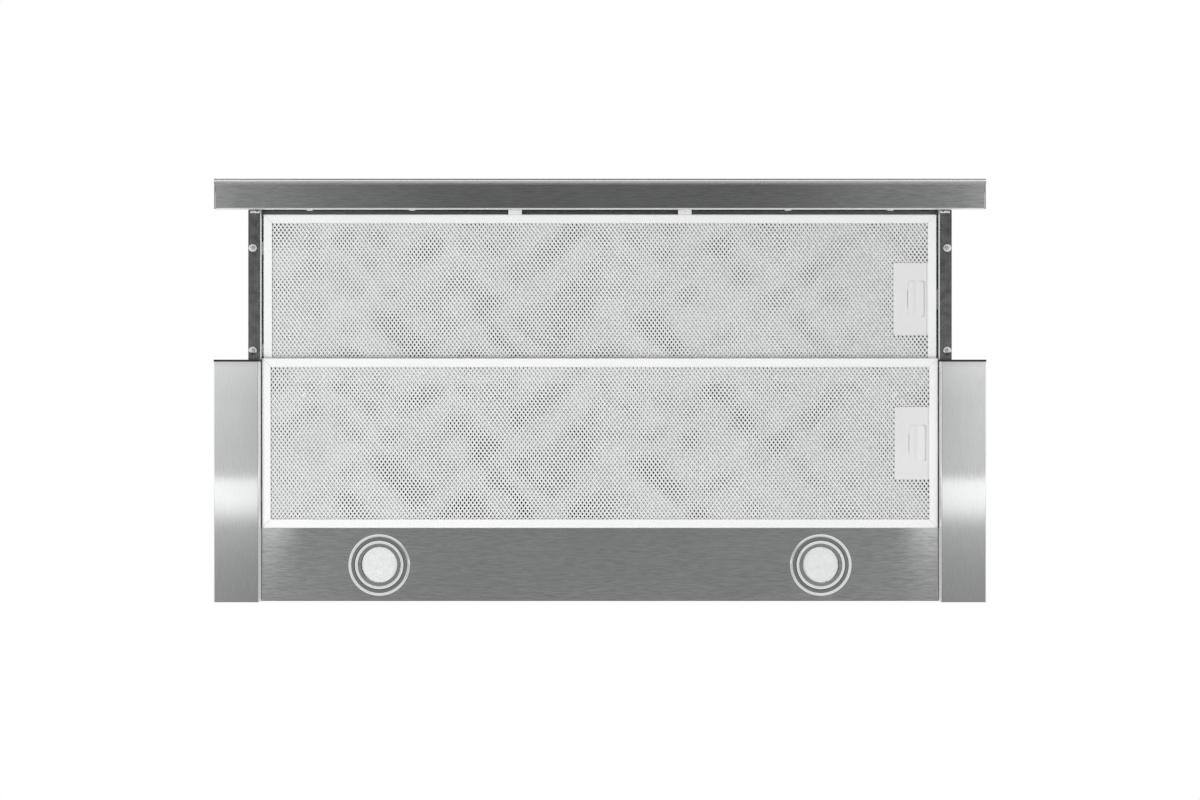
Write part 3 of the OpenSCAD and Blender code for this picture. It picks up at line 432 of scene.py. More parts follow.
# Cold-rolled spring strip is grey-blue from tempering, with fine rolling lines.
spring_strip = metal("tempered spring steel", "#74787D", "#93979B", (0.25, 0.38), 1.2, 0.006, (0.05, 1, 1))
# Soft aluminium blanked in a press, with a mild mill finish along one direction.
mill_aluminium = metal("mill-finish aluminium", "#B7BABC", "#CFD1D2", (0.3, 0.42), 1.2, 0.006, (0.04, 1, 1))
# Nickel plate over a cold-headed screw: pale and silky, with small tool marks.
nickel_plate = metal("nickel-plated steel", "#EAEAE9", "#F7F7F6", (0.26, 0.36), 0.7, 0.008)
# Nickel on a turned ring has a satin sheen, brighter than the sheet around it.
satin_nickel = metal("satin nickel", "#DEDFE0", "#EBECEC", (0.14, 0.22), 0.8, 0.004)
# The pan of the lamp ring is coloured a little darker than the ground sheet, as painted shade on its sunk
# band.
pan_steel_painted_dark = metal("stainless pan with painted shade", "#A8A9AA", "#B4B5B6", (0.08, 0.14), 1.2, 0.002)
print("ten metals")

# %% [markdown]
# ## Paint, plastic and glass
#
# Powder paint melts into a skin with a faint orange peel, waves of about a millimetre and a half.
# Moulded plastic copies the eroded grain of its mould. Both are one dielectric recipe, at the
# usual IOR of 1.5, with the size and height of the texture changed.

# %% Paint and plastics
def coating(name, dark, pale, rough, size_mm, height_mm, clouds_mm=60):
    """Paint or plastic. Its fine grain measures size_mm, and its tone drifts over clouds_mm."""
    finish, tree, surface = start_material(name)
    place = add(tree, "ShaderNodeTexCoord").outputs["Object"]
    grain = add(tree, "ShaderNodeTexNoise", {"Vector": place, "Scale": per_metre(size_mm), "Detail": 2.0})
    clouds = add(tree, "ShaderNodeTexNoise", {"Vector": place, "Scale": per_metre(clouds_mm), "Detail": 2.0})
    mixed = add(tree, "ShaderNodeMath", {0: clouds, 1: grain}, operation="ADD")
    drift = add(tree, "ShaderNodeMapRange", {"Value": mixed, "From Min": 0.7, "From Max": 1.3})
    tint = add(tree, "ShaderNodeValToRGB", {"Fac": drift}, stops=[(0.0, colour(dark)), (1.0, colour(pale))])
    polish = add(tree, "ShaderNodeMapRange", {"Value": grain, "From Min": 0.3,
                                              "From Max": 0.7, "To Min": rough[0], "To Max": rough[1]})
    relief = add(tree, "ShaderNodeBump", {"Height": grain, "Distance": height_mm * MM})
    connect(surface, {"Base Color": tint, "Roughness": polish, "Normal": relief})
    return finish


# Polyester powder coat on the filter frames, a cool white.
white_powder = coating("white polyester powder coat", "#F2F4F3", "#F8F9F8", (0.36, 0.5), 1.5, 0.03)
# ABS mouldings: the latch plates and buttons, a warmer and darker white than the frames.
pale_abs = coating("pale grey moulded ABS", "#E2E2E2", "#E8E8E8", (0.42, 0.55), 0.8, 0.01)
white_abs = coating("white moulded ABS", "#EDEDEB", "#F5F5F3", (0.35, 0.5), 0.8, 0.01)
# Polyamide and ABS in black, with a coarser grain that greys it a little.
black_abs = coating("black grained ABS", "#17181A", "#232426", (0.4, 0.6), 0.6, 0.03)
# Polypropylene scrolls and wheel: waxy, mid grey, with flow clouds.
grey_polypropylene = coating("grey polypropylene", "#5D6164", "#6F7376", (0.38, 0.5), 1.2, 0.02, 25)
# The push buttons have a satin sprayed finish.
satin_buttons = coating("satin sprayed buttons", "#8B8D8F", "#999B9D", (0.3, 0.38), 0.5, 0.004, 10)
# White pad-printed ink for the plain marks on the buttons.
white_ink = coating("white printing ink", "#E9E9E6", "#F4F4F2", (0.45, 0.55), 0.4, 0.002, 5)
print("seven coatings")

# %% [markdown]
# ## Lens and mesh
#
# The lens is opal acrylic: clear plastic with fine white pigment. Light enters it and comes out
# again a millimetre or two away, which is what subsurface scattering is for. The grease mesh is
# expanded aluminium foil. It is thin and rough-cut, so it scatters much of the light.

# %% Lens and mesh materials
opal, tree, surface = start_material("opal acrylic")
place = add(tree, "ShaderNodeTexCoord").outputs["Object"]
haze = add(tree, "ShaderNodeTexNoise", {"Vector": place, "Scale": per_metre(6), "Detail": 3.0})
milk = add(tree, "ShaderNodeValToRGB", {"Fac": haze},
           stops=[(0.3, colour("#E0E3E2")), (0.7, colour("#E9EBEA"))])
gloss = add(tree, "ShaderNodeMapRange", {"Value": haze, "To Min": 0.3, "To Max": 0.42})
connect(surface, {"Base Color": milk, "Roughness": gloss})
surface.inputs["IOR"].default_value = 1.49
surface.inputs["Subsurface Weight"].default_value = 0.25
surface.inputs["Subsurface Radius"].default_value = (1.0, 1.0, 1.0)
surface.inputs["Subsurface Scale"].default_value = 1.5 * MM

expanded_foil = metal("expanded aluminium foil", "#EDEEEF", "#FAFBFB", (0.35, 0.5), 3, 0.02, metallic=0.35)
print("lens and mesh")

# %% [markdown]
# ## A finish for every slot
#
# The record gives each node a material slot. Every CAD node takes its finish from this table, and
# so do the pieces below that replace one.

# %% Finishes
FINISHES = {
    "brushed_stainless": steel_along_x, "galvanised_sheet": galvanised, "dark_steel_arm": phosphated,
    "zinc_plated_rail": zinc_plate, "ball_and_cage_steel": bearing_steel,
    "white_coated_aluminium": white_powder, "expanded_aluminium": expanded_foil,
    "white_plastic": white_abs, "grey_latch_plastic": pale_abs, "nickel_bezel": satin_nickel,
    "opal_lens": opal, "die_cast_housing": die_cast, "spring_steel": spring_strip,
    "white_housing_plastic": white_abs, "grey_blower_plastic": grey_polypropylene,
    "black_plastic": black_abs, "satin_button_plastic": satin_buttons,
    "flap_aluminium": mill_aluminium, "nickel_screws": nickel_plate,
}
for node, cad in frame["nodes"].items():
    finish = FINISHES[slot_of[node]]
    if not cad.material_slots:
        cad.data.materials.append(finish)
    for material_slot in cad.material_slots:
        material_slot.material = finish
print(len(frame["nodes"]), "nodes finished")

# %% [markdown]
# ## Tools for shapes
#
# Most of this hood is bent sheet. A press brake keeps the sheet's thickness and gives every fold a
# small radius, and that radius is what catches the light. So a folded piece is drawn as a path
# along one face of the sheet, and a function works out both faces, fillets and all. Four more
# functions extrude an outline, turn a profile on a lathe, loft through rings and cut holes.

# %% Helpers for shapes
def arc(centre, radius, start, end, steps=6):
    """Points on an arc. Angles are in degrees."""
    angles = [math.radians(start + (end - start) * i / steps) for i in range(steps + 1)]
    return [(centre[0] + radius * math.cos(a), centre[1] + radius * math.sin(a)) for a in angles]


def circle(centre, radius, steps=24):
    """Points of a whole circle."""
    return arc(centre, radius, 0, 360 - 360 / steps, steps - 1)


def folded(path, thickness, inner_radius, steps=5):
    """Closed outline of bent sheet. The path runs along one face, with the sheet on its left."""
    path = [Vector(point) for point in path]
    ways = [(b - a).normalized() for a, b in zip(path, path[1:])]
    left = [Vector((-way.y, way.x)) for way in ways]
    face = [path[0]]
    back = [path[0] + left[0] * thickness]
    for corner, before, after in zip(path[1:-1], left, left[1:]):
        turn = 1 if before.cross(after) > 0 else -1
        radius = inner_radius + (thickness if turn > 0 else 0)
        angle = before.angle(after)
        centre = corner + (before + after).normalized() * turn * radius / math.cos(angle / 2)
        for i in range(steps + 1):
            normal = Matrix.Rotation(turn * angle * i / steps, 2) @ before
            face.append(centre - normal * turn * radius)
            back.append(face[-1] + normal * thickness)
    return [*face, path[-1], path[-1] + left[-1] * thickness, *reversed(back)]


def rounded(width, length, radius, centre=(0, 0), steps=5):
    """Outline of a rectangle with round corners."""
    x, y = width / 2 - radius, length / 2 - radius
    corners = [((x, y), 0), ((-x, y), 90), ((-x, -y), 180), ((x, -y), 270)]
    return [(centre[0] + px, centre[1] + py) for (cx, cy), start in corners
            for px, py in arc((cx, cy), radius, start, start + 90, steps)]


def at(axis, a, b, along):
    """A point from two outline coordinates and its place along an axis."""
    return {"X": (along, a, b), "Y": (a, along, b), "Z": (a, b, along)}[axis]


def loft(form, rings, closed=False):
    """Skins a row of rings that have equally many points."""
    made = [[form.verts.new(point) for point in ring] for ring in rings]
    count = len(made[0])
    pairs = list(zip(made, made[1:])) + ([(made[-1], made[0])] if closed else [])
    for ring, following in pairs:
        for i in range(count):
            j = (i + 1) % count
            form.faces.new((ring[i], ring[j], following[j], following[i]))
    if not closed:
        form.faces.new(made[0])
        form.faces.new(made[-1])


def extruded(form, outline, axis, start, end):
    loft(form, [[at(axis, *point, along) for point in outline] for along in (start, end)])


def turned(form, profile, centre=(0, 0, 0), axis="Z", steps=96):
    """Turns a closed profile of (radius, height) points about an axis through centre."""
    rings = []
    for i in range(steps):
        c, s = math.cos(2 * math.pi * i / steps), math.sin(2 * math.pi * i / steps)
        rings.append([Vector(centre) + Vector(at(axis, r * c, r * s, h)) for r, h in profile])
    loft(form, rings, closed=True)


def block(form, low, high):
    size = [b - a for a, b in zip(low, high)]
    middle = [(a + b) / 2 for a, b in zip(low, high)]
    bmesh.ops.create_cube(form, size=1, matrix=Matrix.Translation(middle) @ Matrix.Diagonal((*size, 1)))


def clean(form):
    bmesh.ops.remove_doubles(form, verts=form.verts, dist=0.0005)
    bmesh.ops.dissolve_degenerate(form, edges=form.edges, dist=0.0005)
    bmesh.ops.delete(form, geom=[e for e in form.edges if not e.link_faces], context="EDGES")
    bmesh.ops.recalc_face_normals(form, faces=form.faces)
    return form


def cut(form, cutter):
    """Takes one closed form out of another and returns what is left."""
    blanks = []
    for part in (form, cutter):
        mesh = bpy.data.meshes.new("blank")
        clean(part).to_mesh(mesh)
        part.free()
        blanks.append(bpy.data.objects.new("blank", mesh))
        scene.collection.objects.link(blanks[-1])
    boolean = blanks[0].modifiers.new("cut", "BOOLEAN")
    boolean.object = blanks[1]
    boolean.solver = "EXACT"
    boolean.use_self = True
    left_over = bmesh.new()
    left_over.from_object(blanks[0], bpy.context.evaluated_depsgraph_get())
    for blank in blanks:
        bpy.data.meshes.remove(blank.data)
    return left_over


def cad_form(node, merged=True):
    """A CAD node's shape in millimetres, with its triangles merged into flat faces or left."""
    form = bmesh.new()
    form.from_mesh(frame["nodes"][node].data)
    form.transform(Matrix.Scale(1 / MM, 4))
    bmesh.ops.remove_doubles(form, verts=form.verts, dist=0.001)
    if merged:
        bmesh.ops.dissolve_limit(form, angle_limit=math.radians(1), verts=form.verts, edges=form.edges)
    return form


def mirrored(form, side):
    """The form as drawn on the right, or its mirror image for side -1."""
    if side < 0:
        form.transform(Matrix.Diagonal((-1, 1, 1, 1)))
    return form


def make_piece(name, form, *nodes, finish=None, edge=0, smooth_below=32):
    """Turns a form into a piece that stands for CAD nodes. edge is the width of its soft edges."""
    clean(form).transform(Matrix.Scale(MM, 4))
    mesh = bpy.data.meshes.new(name)
    form.to_mesh(mesh)
    form.free()
    mesh.shade_smooth()
    mesh.set_sharp_from_angle(angle=math.radians(smooth_below))
    mesh.materials.append(finish or FINISHES[slot_of[nodes[0]]])
    piece = bpy.data.objects.new(name, mesh)
    scene.collection.objects.link(piece)
    if edge:
        bevel = piece.modifiers.new("soft edges", "BEVEL")
        bevel.width = edge * MM
        bevel.segments = 2
        bevel.angle_limit = math.radians(smooth_below)
        bevel.use_clamp_overlap = False
        bevel.miter_outer = "MITER_ARC"
        bevel.harden_normals = True
    else:
        flat = piece.modifiers.new("flat faces stay flat", "WEIGHTED_NORMAL")
        flat.keep_sharp = True
    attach(piece, body_of[nodes[0]])
    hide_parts(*nodes)
    return piece


def side_name(side):
    return "left" if side < 0 else "right"


print("sheet, lathe, loft and cut")

# %% [markdown]
# ## Side pods
#
# A pod is one channel of 1 mm stainless: an inner wall, the face that shows, and the tall outer
# wall. Its bends have a radius of about 1.6 mm outside. Its rear end is closed by a plate, with a
# hairline seam round it. Three screws through the tray's skirt end flush in the outer wall.

# %% Pods
SHEET = 1
BEND = 0.6
SEAM = 0.25
INNER_WALL = 20
SKIRT_SCREWS_Y = -111, 0, 111
SKIRT_SCREWS_Z = -10
SKIRT_HOLE_R = 2.1
pod_low, pod_high = box_mm("right_pod_cover")
inner_wall_top = box_mm("left_pod_cap")[0].z + INNER_WALL


def pod(side):
    channel = folded([(pod_low.x, inner_wall_top), (pod_low.x, pod_low.z), (pod_high.x, pod_low.z),
                      (pod_high.x, pod_high.z)], SHEET, BEND)
    form = bmesh.new()
    extruded(form, channel, "Y", pod_low.y, pod_high.y)
    holes = bmesh.new()
    for y in SKIRT_SCREWS_Y:
        extruded(holes, circle((y, SKIRT_SCREWS_Z), SKIRT_HOLE_R), "X", pod_high.x - 3, pod_high.x + 3)
    form = cut(form, holes)
    width = pod_high.x - pod_low.x - 2 * SHEET - 2 * SEAM
    height = pod_high.z - pod_low.z - SHEET - 2 * SEAM
    middle = ((pod_low.x + pod_high.x) / 2, (pod_low.z + SHEET + pod_high.z) / 2)
    extruded(form, rounded(width, height, BEND + 0.1, middle), "Y", pod_high.y - SHEET, pod_high.y)
    make_piece(side_name(side) + "_pod_shell", mirrored(form, side), side_name(side) + "_pod_cover",
               finish=steel_along_y)


for side in (-1, 1):
    pod(side)
print("pods", round(pod_high.x - pod_low.x, 1), "mm wide")

# %% [markdown]
# ## Fascia and lip
#
# The fascia is a brushed channel under the drawer's front. Its ends are hemmed: the sheet is
# folded back on itself, so each end is a round edge 2 mm thick, lower towards the rear. The lip is
# the bottom of the front panel. From below it reads as a thin bead, a dark slot, the bright front
# of a fold, its grey rear slope and a groove.

# %% Fascia
fascia_low, fascia_high = box_mm("fascia")
HEM = 2
HEM_ROUND = 1.6
HEM_BACK = 0.2
SCREWS_X = 99.5, 218.8, 338.1
SCREWS_UP = 6.5
SCREW_HOLE_R = 2
UPSTAND = 13
INNER_FOLD = 10
FRONT_FOLD = 0.35
REAR_FOLD = 1.25

form = bmesh.new()
face = fascia_low.z
channel = [(fascia_low.y, face + INNER_FOLD)]
channel += arc((fascia_low.y + FRONT_FOLD, face + FRONT_FOLD), FRONT_FOLD, 180, 270, 4)
channel += arc((fascia_high.y - REAR_FOLD, face + REAR_FOLD), REAR_FOLD, 270, 360, 8)
channel += [(fascia_high.y, face + UPSTAND), (fascia_high.y - SHEET, face + UPSTAND),
            (fascia_high.y - SHEET, face + SHEET), (fascia_low.y + SHEET, face + SHEET),
            (fascia_low.y + SHEET, face + INNER_FOLD)]
extruded(form, channel, "X", fascia_low.x + HEM + SEAM, fascia_high.x - HEM - SEAM)
holes = bmesh.new()
for x in [x * sign for x in SCREWS_X for sign in (-1, 1)]:
    extruded(holes, circle((x, face + SCREWS_UP), SCREW_HOLE_R), "Y", fascia_high.y - 3, fascia_high.y + 3)
form = cut(form, holes)
edge_x = fascia_high.x - HEM_ROUND
for side in (-1, 1):
    ends = []
    for y, top in ((fascia_low.y + HEM_BACK, fascia_high.z), (fascia_high.y, face + UPSTAND)):
        hem = arc((edge_x, face + HEM_ROUND), HEM_ROUND, 270, 360, 8)
        hem += arc((edge_x, top - HEM_ROUND), HEM_ROUND, 0, 90, 8)
        hem += [(fascia_high.x - HEM, top), (fascia_high.x - HEM, face)]
        ends.append([(side * x, y, z) for x, z in hem])
    loft(form, ends)
make_piece("fascia_channel", form, "fascia")
print("fascia", round(fascia_high.y - fascia_low.y, 1), "mm deep")

# %% Front panel with its lip
panel_low, panel_high = box_mm("fascia_lip")
PANEL = 1.2
BEAD = 0.65
BEAD_UP = 1.5
SLOT_UP = 2.7
SLOT_FRONT = 1.45
SLOT_REAR = 1.85
# The fold's points: how far back from the panel's face, and how far up from its lowest edge.
FOLD = [(1.95, 1.15), (3.1, 0.12), (3.35, 0.0), (3.6, 0.03), (5.5, 0.68)]
GROOVE_BACK = 5.55
GROOVE_UP = 1.8
HOOK_UP = 5.2
FLANGE_CORNER = 1.6
END_FLANGE = 12
WINDOW_GAP = 0.2
KEY_CORNER = 1.5
hook = fascia_low.y
base = panel_low.z
inside_y = panel_low.y + PANEL
outline = [(panel_high.y, panel_high.z)]
outline += arc((panel_low.y + FLANGE_CORNER, panel_high.z - FLANGE_CORNER), FLANGE_CORNER, 90, 180)
outline += arc((panel_low.y + BEAD, base + BEAD_UP), BEAD, 180, 350, 12)
outline += [(panel_low.y + SLOT_FRONT, base + SLOT_UP), (panel_low.y + SLOT_REAR, base + SLOT_UP)]
outline += [(panel_low.y + back, base + up) for back, up in FOLD]
outline += [(panel_low.y + GROOVE_BACK, base + GROOVE_UP), (hook, base + GROOVE_UP), (hook, base + HOOK_UP),
            (hook - PANEL, base + HOOK_UP), (hook - PANEL, base + SLOT_UP + 0.6),
            (inside_y, base + SLOT_UP + 1.1), (inside_y, panel_high.z - SHEET),
            (panel_high.y, panel_high.z - SHEET)]
form = bmesh.new()
extruded(form, outline, "X", panel_low.x, panel_high.x)
windows = bmesh.new()
button_boxes = [box_mm(name + "_button") for name in ("light", "off", "low", "medium", "high")]
for low, high in button_boxes:
    middle = ((low.x + high.x) / 2, (low.z + high.z) / 2)
    window = rounded(high.x - low.x + 2 * WINDOW_GAP, high.z - low.z + 2 * WINDOW_GAP, KEY_CORNER, middle)
    extruded(windows, window, "Y", panel_low.y - 1, panel_low.y + 3)
form = cut(form, windows)
arm_edge = box_mm("right_arm")[1].x
notches = bmesh.new()
for side in (-1, 1):
    ends = sorted((side * (arm_edge + 1), side * (panel_high.x + 1)))
    block(notches, (ends[0], panel_low.y + END_FLANGE, panel_high.z - 2 * SHEET),
          (ends[1], panel_high.y + 1, panel_high.z + 1))
make_piece("front_panel", cut(form, notches), "fascia_lip")
print(len(button_boxes), "windows for buttons")

# %% [markdown]
# ## Push buttons
#
# Five keys of satin ABS stand a little proud of the panel. Each is a cushion: flat across, with
# its edge rolled off. The marks are plain bars and a ring, printed on.

# %% Push buttons
BUTTON_MARKS = {"light": "ring", "off": "dash", "low": 1, "medium": 2, "high": 3}
# The rolled edge of a key: how deep each ring lies, and how far in from the key's side.
KEY_ROLL = [(0.0, 1.5), (0.08, 0.8), (0.25, 0.3), (0.55, 0.06), (1.2, 0.0)]
INK_PROUD = 0.02
INK_IN = 0.1
MARK_PITCH = 1.9
DASH = 4, 0.7
STROKE = 0.8, 3.6


def push_button(name, mark):
    low, high = box_mm(name + "_button")
    middle = ((low.x + high.x) / 2, (low.z + high.z) / 2)
    form = bmesh.new()
    rings = []
    for depth, inset in KEY_ROLL:
        outline = rounded(high.x - low.x - 2 * inset, high.z - low.z - 2 * inset,
                          KEY_CORNER - inset * 0.6, middle)
        rings.append([(x, low.y + depth, z) for x, z in outline])
    rings.append([(x, high.y, z) for x, _, z in rings[-1]])
    loft(form, rings)
    make_piece(name + "_key", form, name + "_button")
    ink = bmesh.new()
    if mark == "ring":
        rim = [(1.9, 0), (1.9, 0.12), (1.5, 0.12), (1.5, 0)]
        turned(ink, rim, (middle[0], low.y - INK_PROUD, middle[1]), "Y", 40)
    else:
        count = 1 if mark == "dash" else mark
        size = DASH if mark == "dash" else STROKE
        for i in range(count):
            x = middle[0] + (i - (count - 1) / 2) * MARK_PITCH
            extruded(ink, rounded(*size, 0.3, (x, middle[1])), "Y", low.y - INK_PROUD, low.y + INK_IN)
    make_piece(name + "_mark", ink, name + "_button", finish=white_ink)


for name, mark in BUTTON_MARKS.items():
    push_button(name, mark)
print(len(BUTTON_MARKS), "buttons with marks")

# %% [markdown]
# ## Grease filters
#
# A cassette is a picture frame of aluminium channel, 9 mm thick, mitred at its corners. Each bar
# is an extruded C. Its two ends are cut at 45 degrees, so a point further in from the edge also
# lies further in from the end. A hairline stays open at each mitre, as on the real one.

# %% Filter frames
BAR = 10
FILTER_T = 9
MITRE_GAP = 0.12
TAB_SPAN = 120
TAB_W = 14
TAB_T = 1.2
TONGUE_W = 24
TONGUE_ROOM = 1.1
SIDE_ROOM = 0.5
FILTER_HALF = box_mm("front_filter_frame")[1].x


def filter_frame(name):
    node = name + "_filter_frame"
    low, high = box_mm(node)
    section = folded([(BAR, FILTER_T), (0, FILTER_T), (0, 0), (BAR, 0)], 1, 0.25, 4)
    form = bmesh.new()
    for mirror in (1, -1):
        edge_y = low.y if mirror > 0 else high.y
        loft(form, [[(end * (FILTER_HALF - u - MITRE_GAP), edge_y + mirror * u, low.z + w)
                     for u, w in section] for end in (-1, 1)])
        loft(form, [[(mirror * (FILTER_HALF - u), y + way * (u + MITRE_GAP), low.z + w)
                     for u, w in section] for y, way in ((low.y, 1), (high.y, -1))])
    notch = bmesh.new()
    middle = (low.y + high.y) / 2
    half = TONGUE_W / 2 + SIDE_ROOM
    block(notch, (FILTER_HALF - BAR - 1, middle - half, low.z + FILTER_T - TONGUE_ROOM),
          (FILTER_HALF + 1, middle + half, low.z + FILTER_T + 1))
    form = cut(form, notch)
    for way in (-1, 1):
        tab = rounded(-FILTER_HALF - low.x + BAR, TAB_W, 1.5,
                      ((low.x - FILTER_HALF + BAR) / 2, middle + way * TAB_SPAN / 2))
        extruded(form, tab, "Z", high.z - TAB_T, high.z)
    make_piece(name + "_filter_bars", form, node)


for name in ("front", "rear"):
    filter_frame(name)
print("two cassettes", round(2 * FILTER_HALF, 1), "mm wide")

# %% [markdown]
# ## Expanded aluminium
#
# Foil is slit in staggered rows and pulled open, which leaves diamonds 4.75 mm by 6.4 mm. The
# metal between them forms zigzag strands that touch their neighbours at every bend, and the pull
# tilts each strand. So the mesh is made as the real one is: row after row of zigzag ribbons of
# three sides. Two layers with slightly different pitches lie in a cassette, and their holes drift
# in and out of line, which gives the soft clouds that the photograph shows.

# %% Expanded mesh
LAYER_INSET = 5
FIRST_STRAND = 2
STRAND_RIDGE = 0.45
LATCH_GAP = 0.15


def drift(x, y, amount):
    """How far the foil is pulled out of true at a place. It never lies quite straight."""
    across = math.sin(x / 19 + 1.7 * math.sin(y / 17)) + 0.7 * math.sin(x / 11 - y / 13 + 1.3)
    along = math.sin(y / 15 + 1.9 * math.sin(x / 23 + 2)) + 0.7 * math.sin(x / 12 + y / 9)
    return amount * across, amount * along


def ribbon(form, x, swing, ys, strand, up, tilt, amount):
    """One closed zigzag of three sides: two low edges and a ridge."""
    rings = []
    for j, y in enumerate(ys):
        bend = x + (swing if j % 2 else -swing)
        dx, dy = drift(bend, y, amount)
        rings.append([(bend + dx - strand / 2, y + dy, up + tilt),
                      (bend + dx + strand / 2, y + dy, up - tilt), (bend + dx, y + dy, up + STRAND_RIDGE)])
    loft(form, rings)


def expanded_layer(name, pitch_x, pitch_y, strand, up, tilt, shift, amount):
    """Mesh data of one layer, about the centre of the cassette's underside."""
    form = bmesh.new()
    low, high = box_mm("rear_filter_frame")
    half_x = FILTER_HALF - LAYER_INSET
    half_y = (high.y - low.y) / 2 - LAYER_INSET
    plate_low, plate_high = box_mm("rear_latch_housing")
    plate_x = plate_low.x - LATCH_GAP
    plate_y = (plate_high.y - plate_low.y) / 2 + LATCH_GAP
    half_pitch = pitch_y / 2
    rows = int(2 * half_y / half_pitch) + 1
    ys = [-half_y + shift + j * half_pitch for j in range(rows)]
    columns = int(2 * (half_x - FIRST_STRAND) / (pitch_x / 2))
    for i in range(columns + 1):
        x = -half_x + FIRST_STRAND + i * pitch_x / 2
        swing = pitch_x / 4 * (1 if i % 2 else -1)
        if x - abs(swing) < plate_x:
            ribbon(form, x, swing, ys, strand, up, tilt, amount)
        else:
            lower = sum(y < -plate_y + half_pitch / 2 for y in ys)
            upper = sum(y > plate_y - half_pitch / 2 for y in ys)
            if (rows - upper) % 2:
                upper -= 1
            ribbon(form, x, swing, ys[:lower], strand, up, tilt, amount)
            ribbon(form, x, swing, ys[-upper:], strand, up, tilt, amount)
    bmesh.ops.recalc_face_normals(form, faces=form.faces)
    form.transform(Matrix.Scale(MM, 4))
    mesh = bpy.data.meshes.new(name)
    form.to_mesh(mesh)
    form.free()
    mesh.materials.append(expanded_foil)
    return mesh


layers = {
    "lower_layer": expanded_layer("lower_layer", pitch_x=4.75, pitch_y=6.4, strand=2.15, up=1.9,
                                  tilt=0.22, shift=0.5, amount=0.12),
    "upper_layer": expanded_layer("upper_layer", pitch_x=4.79, pitch_y=6.46, strand=1.5, up=3.6,
                                  tilt=-0.2, shift=1.7, amount=0.9),
}
for name in ("front", "rear"):
    low, high = box_mm(name + "_filter_frame")
    for layer, mesh in layers.items():
        piece = bpy.data.objects.new(name + "_mesh_" + layer, mesh)
        piece.location = (0, (low.y + high.y) / 2 * MM, low.z * MM)
        scene.collection.objects.link(piece)
        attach(piece, body_of[name + "_filter_mesh"])
        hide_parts(name + "_filter_mesh")
print("triangles a layer", [sum(len(p.vertices) - 2 for p in mesh.polygons) for mesh in layers.values()])

# %% [markdown]
# ## Latch and its plate
#
# The plate is a moulding set over the edge of the mesh. The button slides on it to draw the tongue
# back. Across its width the button is flat, then dips, then climbs to a crest with a steep side
# that the finger pulls against. One section, narrowed and lowered towards the two ends, lofts the
# whole of it with its round corners. The tongue and its slider behind are plain bars.

# %% Latches
BUTTON_W = 20.3
BUTTON_CORNER = 3.5
BUTTON_SIDE = 1.4
# Across the button: the place as a share of its width, and the height over the plate.
BUTTON_SECTION = [(0.0, 0.0), (0.01, 0.8), (0.03, 1.3), (0.05, 1.4), (0.28, 1.45), (0.32, 1.35), (0.47, 0.2),
                  (0.5, 0.15), (0.56, 0.4), (0.76, 2.1), (0.83, 2.6), (0.86, 2.68), (0.89, 2.6),
                  (0.95, 1.5), (1.0, 0.0)]
# Along the button: how far each ring lies from the end. It is at its full height at ROLL_IN.
BUTTON_STEPS = [0, 0.25, 0.6, 1.1, 1.8, 2.6, 3.5]
ROLL_IN = 2.6
SEAM_IN = 1.35
SEAM_W = 0.3
# The slider's stem, its plate and its finger, as corners about the button's middle.
SLIDER = [((-5, -10, 1.2), (5, 10, 2.5)), ((-10, -20, 2.05), (10, 20, 6.5)), ((0, -12, 5.5), (9, 12, 8.9))]


def latch_button(form, middle_x, low_y, high_y, plate_z):
    """The cushion of the button. Each ring is the section at one place along its length."""
    rings = []
    places = [(low_y + t, t) for t in BUTTON_STEPS] + [(high_y - t, t) for t in reversed(BUTTON_STEPS)]
    for y, t in places:
        from_corner = BUTTON_CORNER - t
        half = BUTTON_W / 2 - BUTTON_CORNER + math.sqrt(BUTTON_CORNER ** 2 - from_corner ** 2)
        height = 0.15 + 0.85 * math.sin(math.radians(90) * min(1, t / ROLL_IN))
        ring = [(middle_x + (part - 0.5) * 2 * half, y, plate_z - up * height) for part, up in BUTTON_SECTION]
        rings.append([*ring, *[(middle_x + way * half, y, plate_z + BUTTON_SIDE) for way in (1, -1)]])
    loft(form, rings)


def latch(name):
    housing = name + "_latch_housing"
    plate_low, plate_high = box_mm(housing)
    form = cad_form(housing)
    groove = bmesh.new()
    seam_x = plate_high.x - SEAM_IN
    block(groove, (seam_x - SEAM_W / 2, plate_low.y - 1, plate_low.z - 1),
          (seam_x + SEAM_W / 2, plate_high.y + 1, plate_low.z + SEAM_W))
    make_piece(name + "_latch_plate", cut(form, groove), housing, edge=0.25)
    node = name + "_latch_button"
    low, high = box_mm(node)
    middle = Vector((low.x + BUTTON_W / 2, (low.y + high.y) / 2, plate_low.z))
    form = bmesh.new()
    latch_button(form, middle.x, low.y, high.y, plate_low.z)
    for corner, opposite in SLIDER:
        block(form, Vector(corner) + middle, Vector(opposite) + middle)
    block(form, (middle.x, middle.y - TONGUE_W / 2, high.z - TAB_T),
          (high.x, middle.y + TONGUE_W / 2, high.z))
    make_piece(name + "_latch_slider", form, node)


for name in ("front", "rear"):
    latch(name)
print("two latches")

# %% [markdown]
# ## Lamps
#
# A bezel is two turned parts. A stainless pan has a flat sunk band and a step up to the lens. Two
# nickel rings sit on it: a sloping rim outside, and a steep ridge, sharp as a roof, that catches
# the light all round. The lens is a shallow dome of opal acrylic. Every profile is drawn as pairs
# of radius and height, and the rim and the pan's edge count inwards from the outer radius.

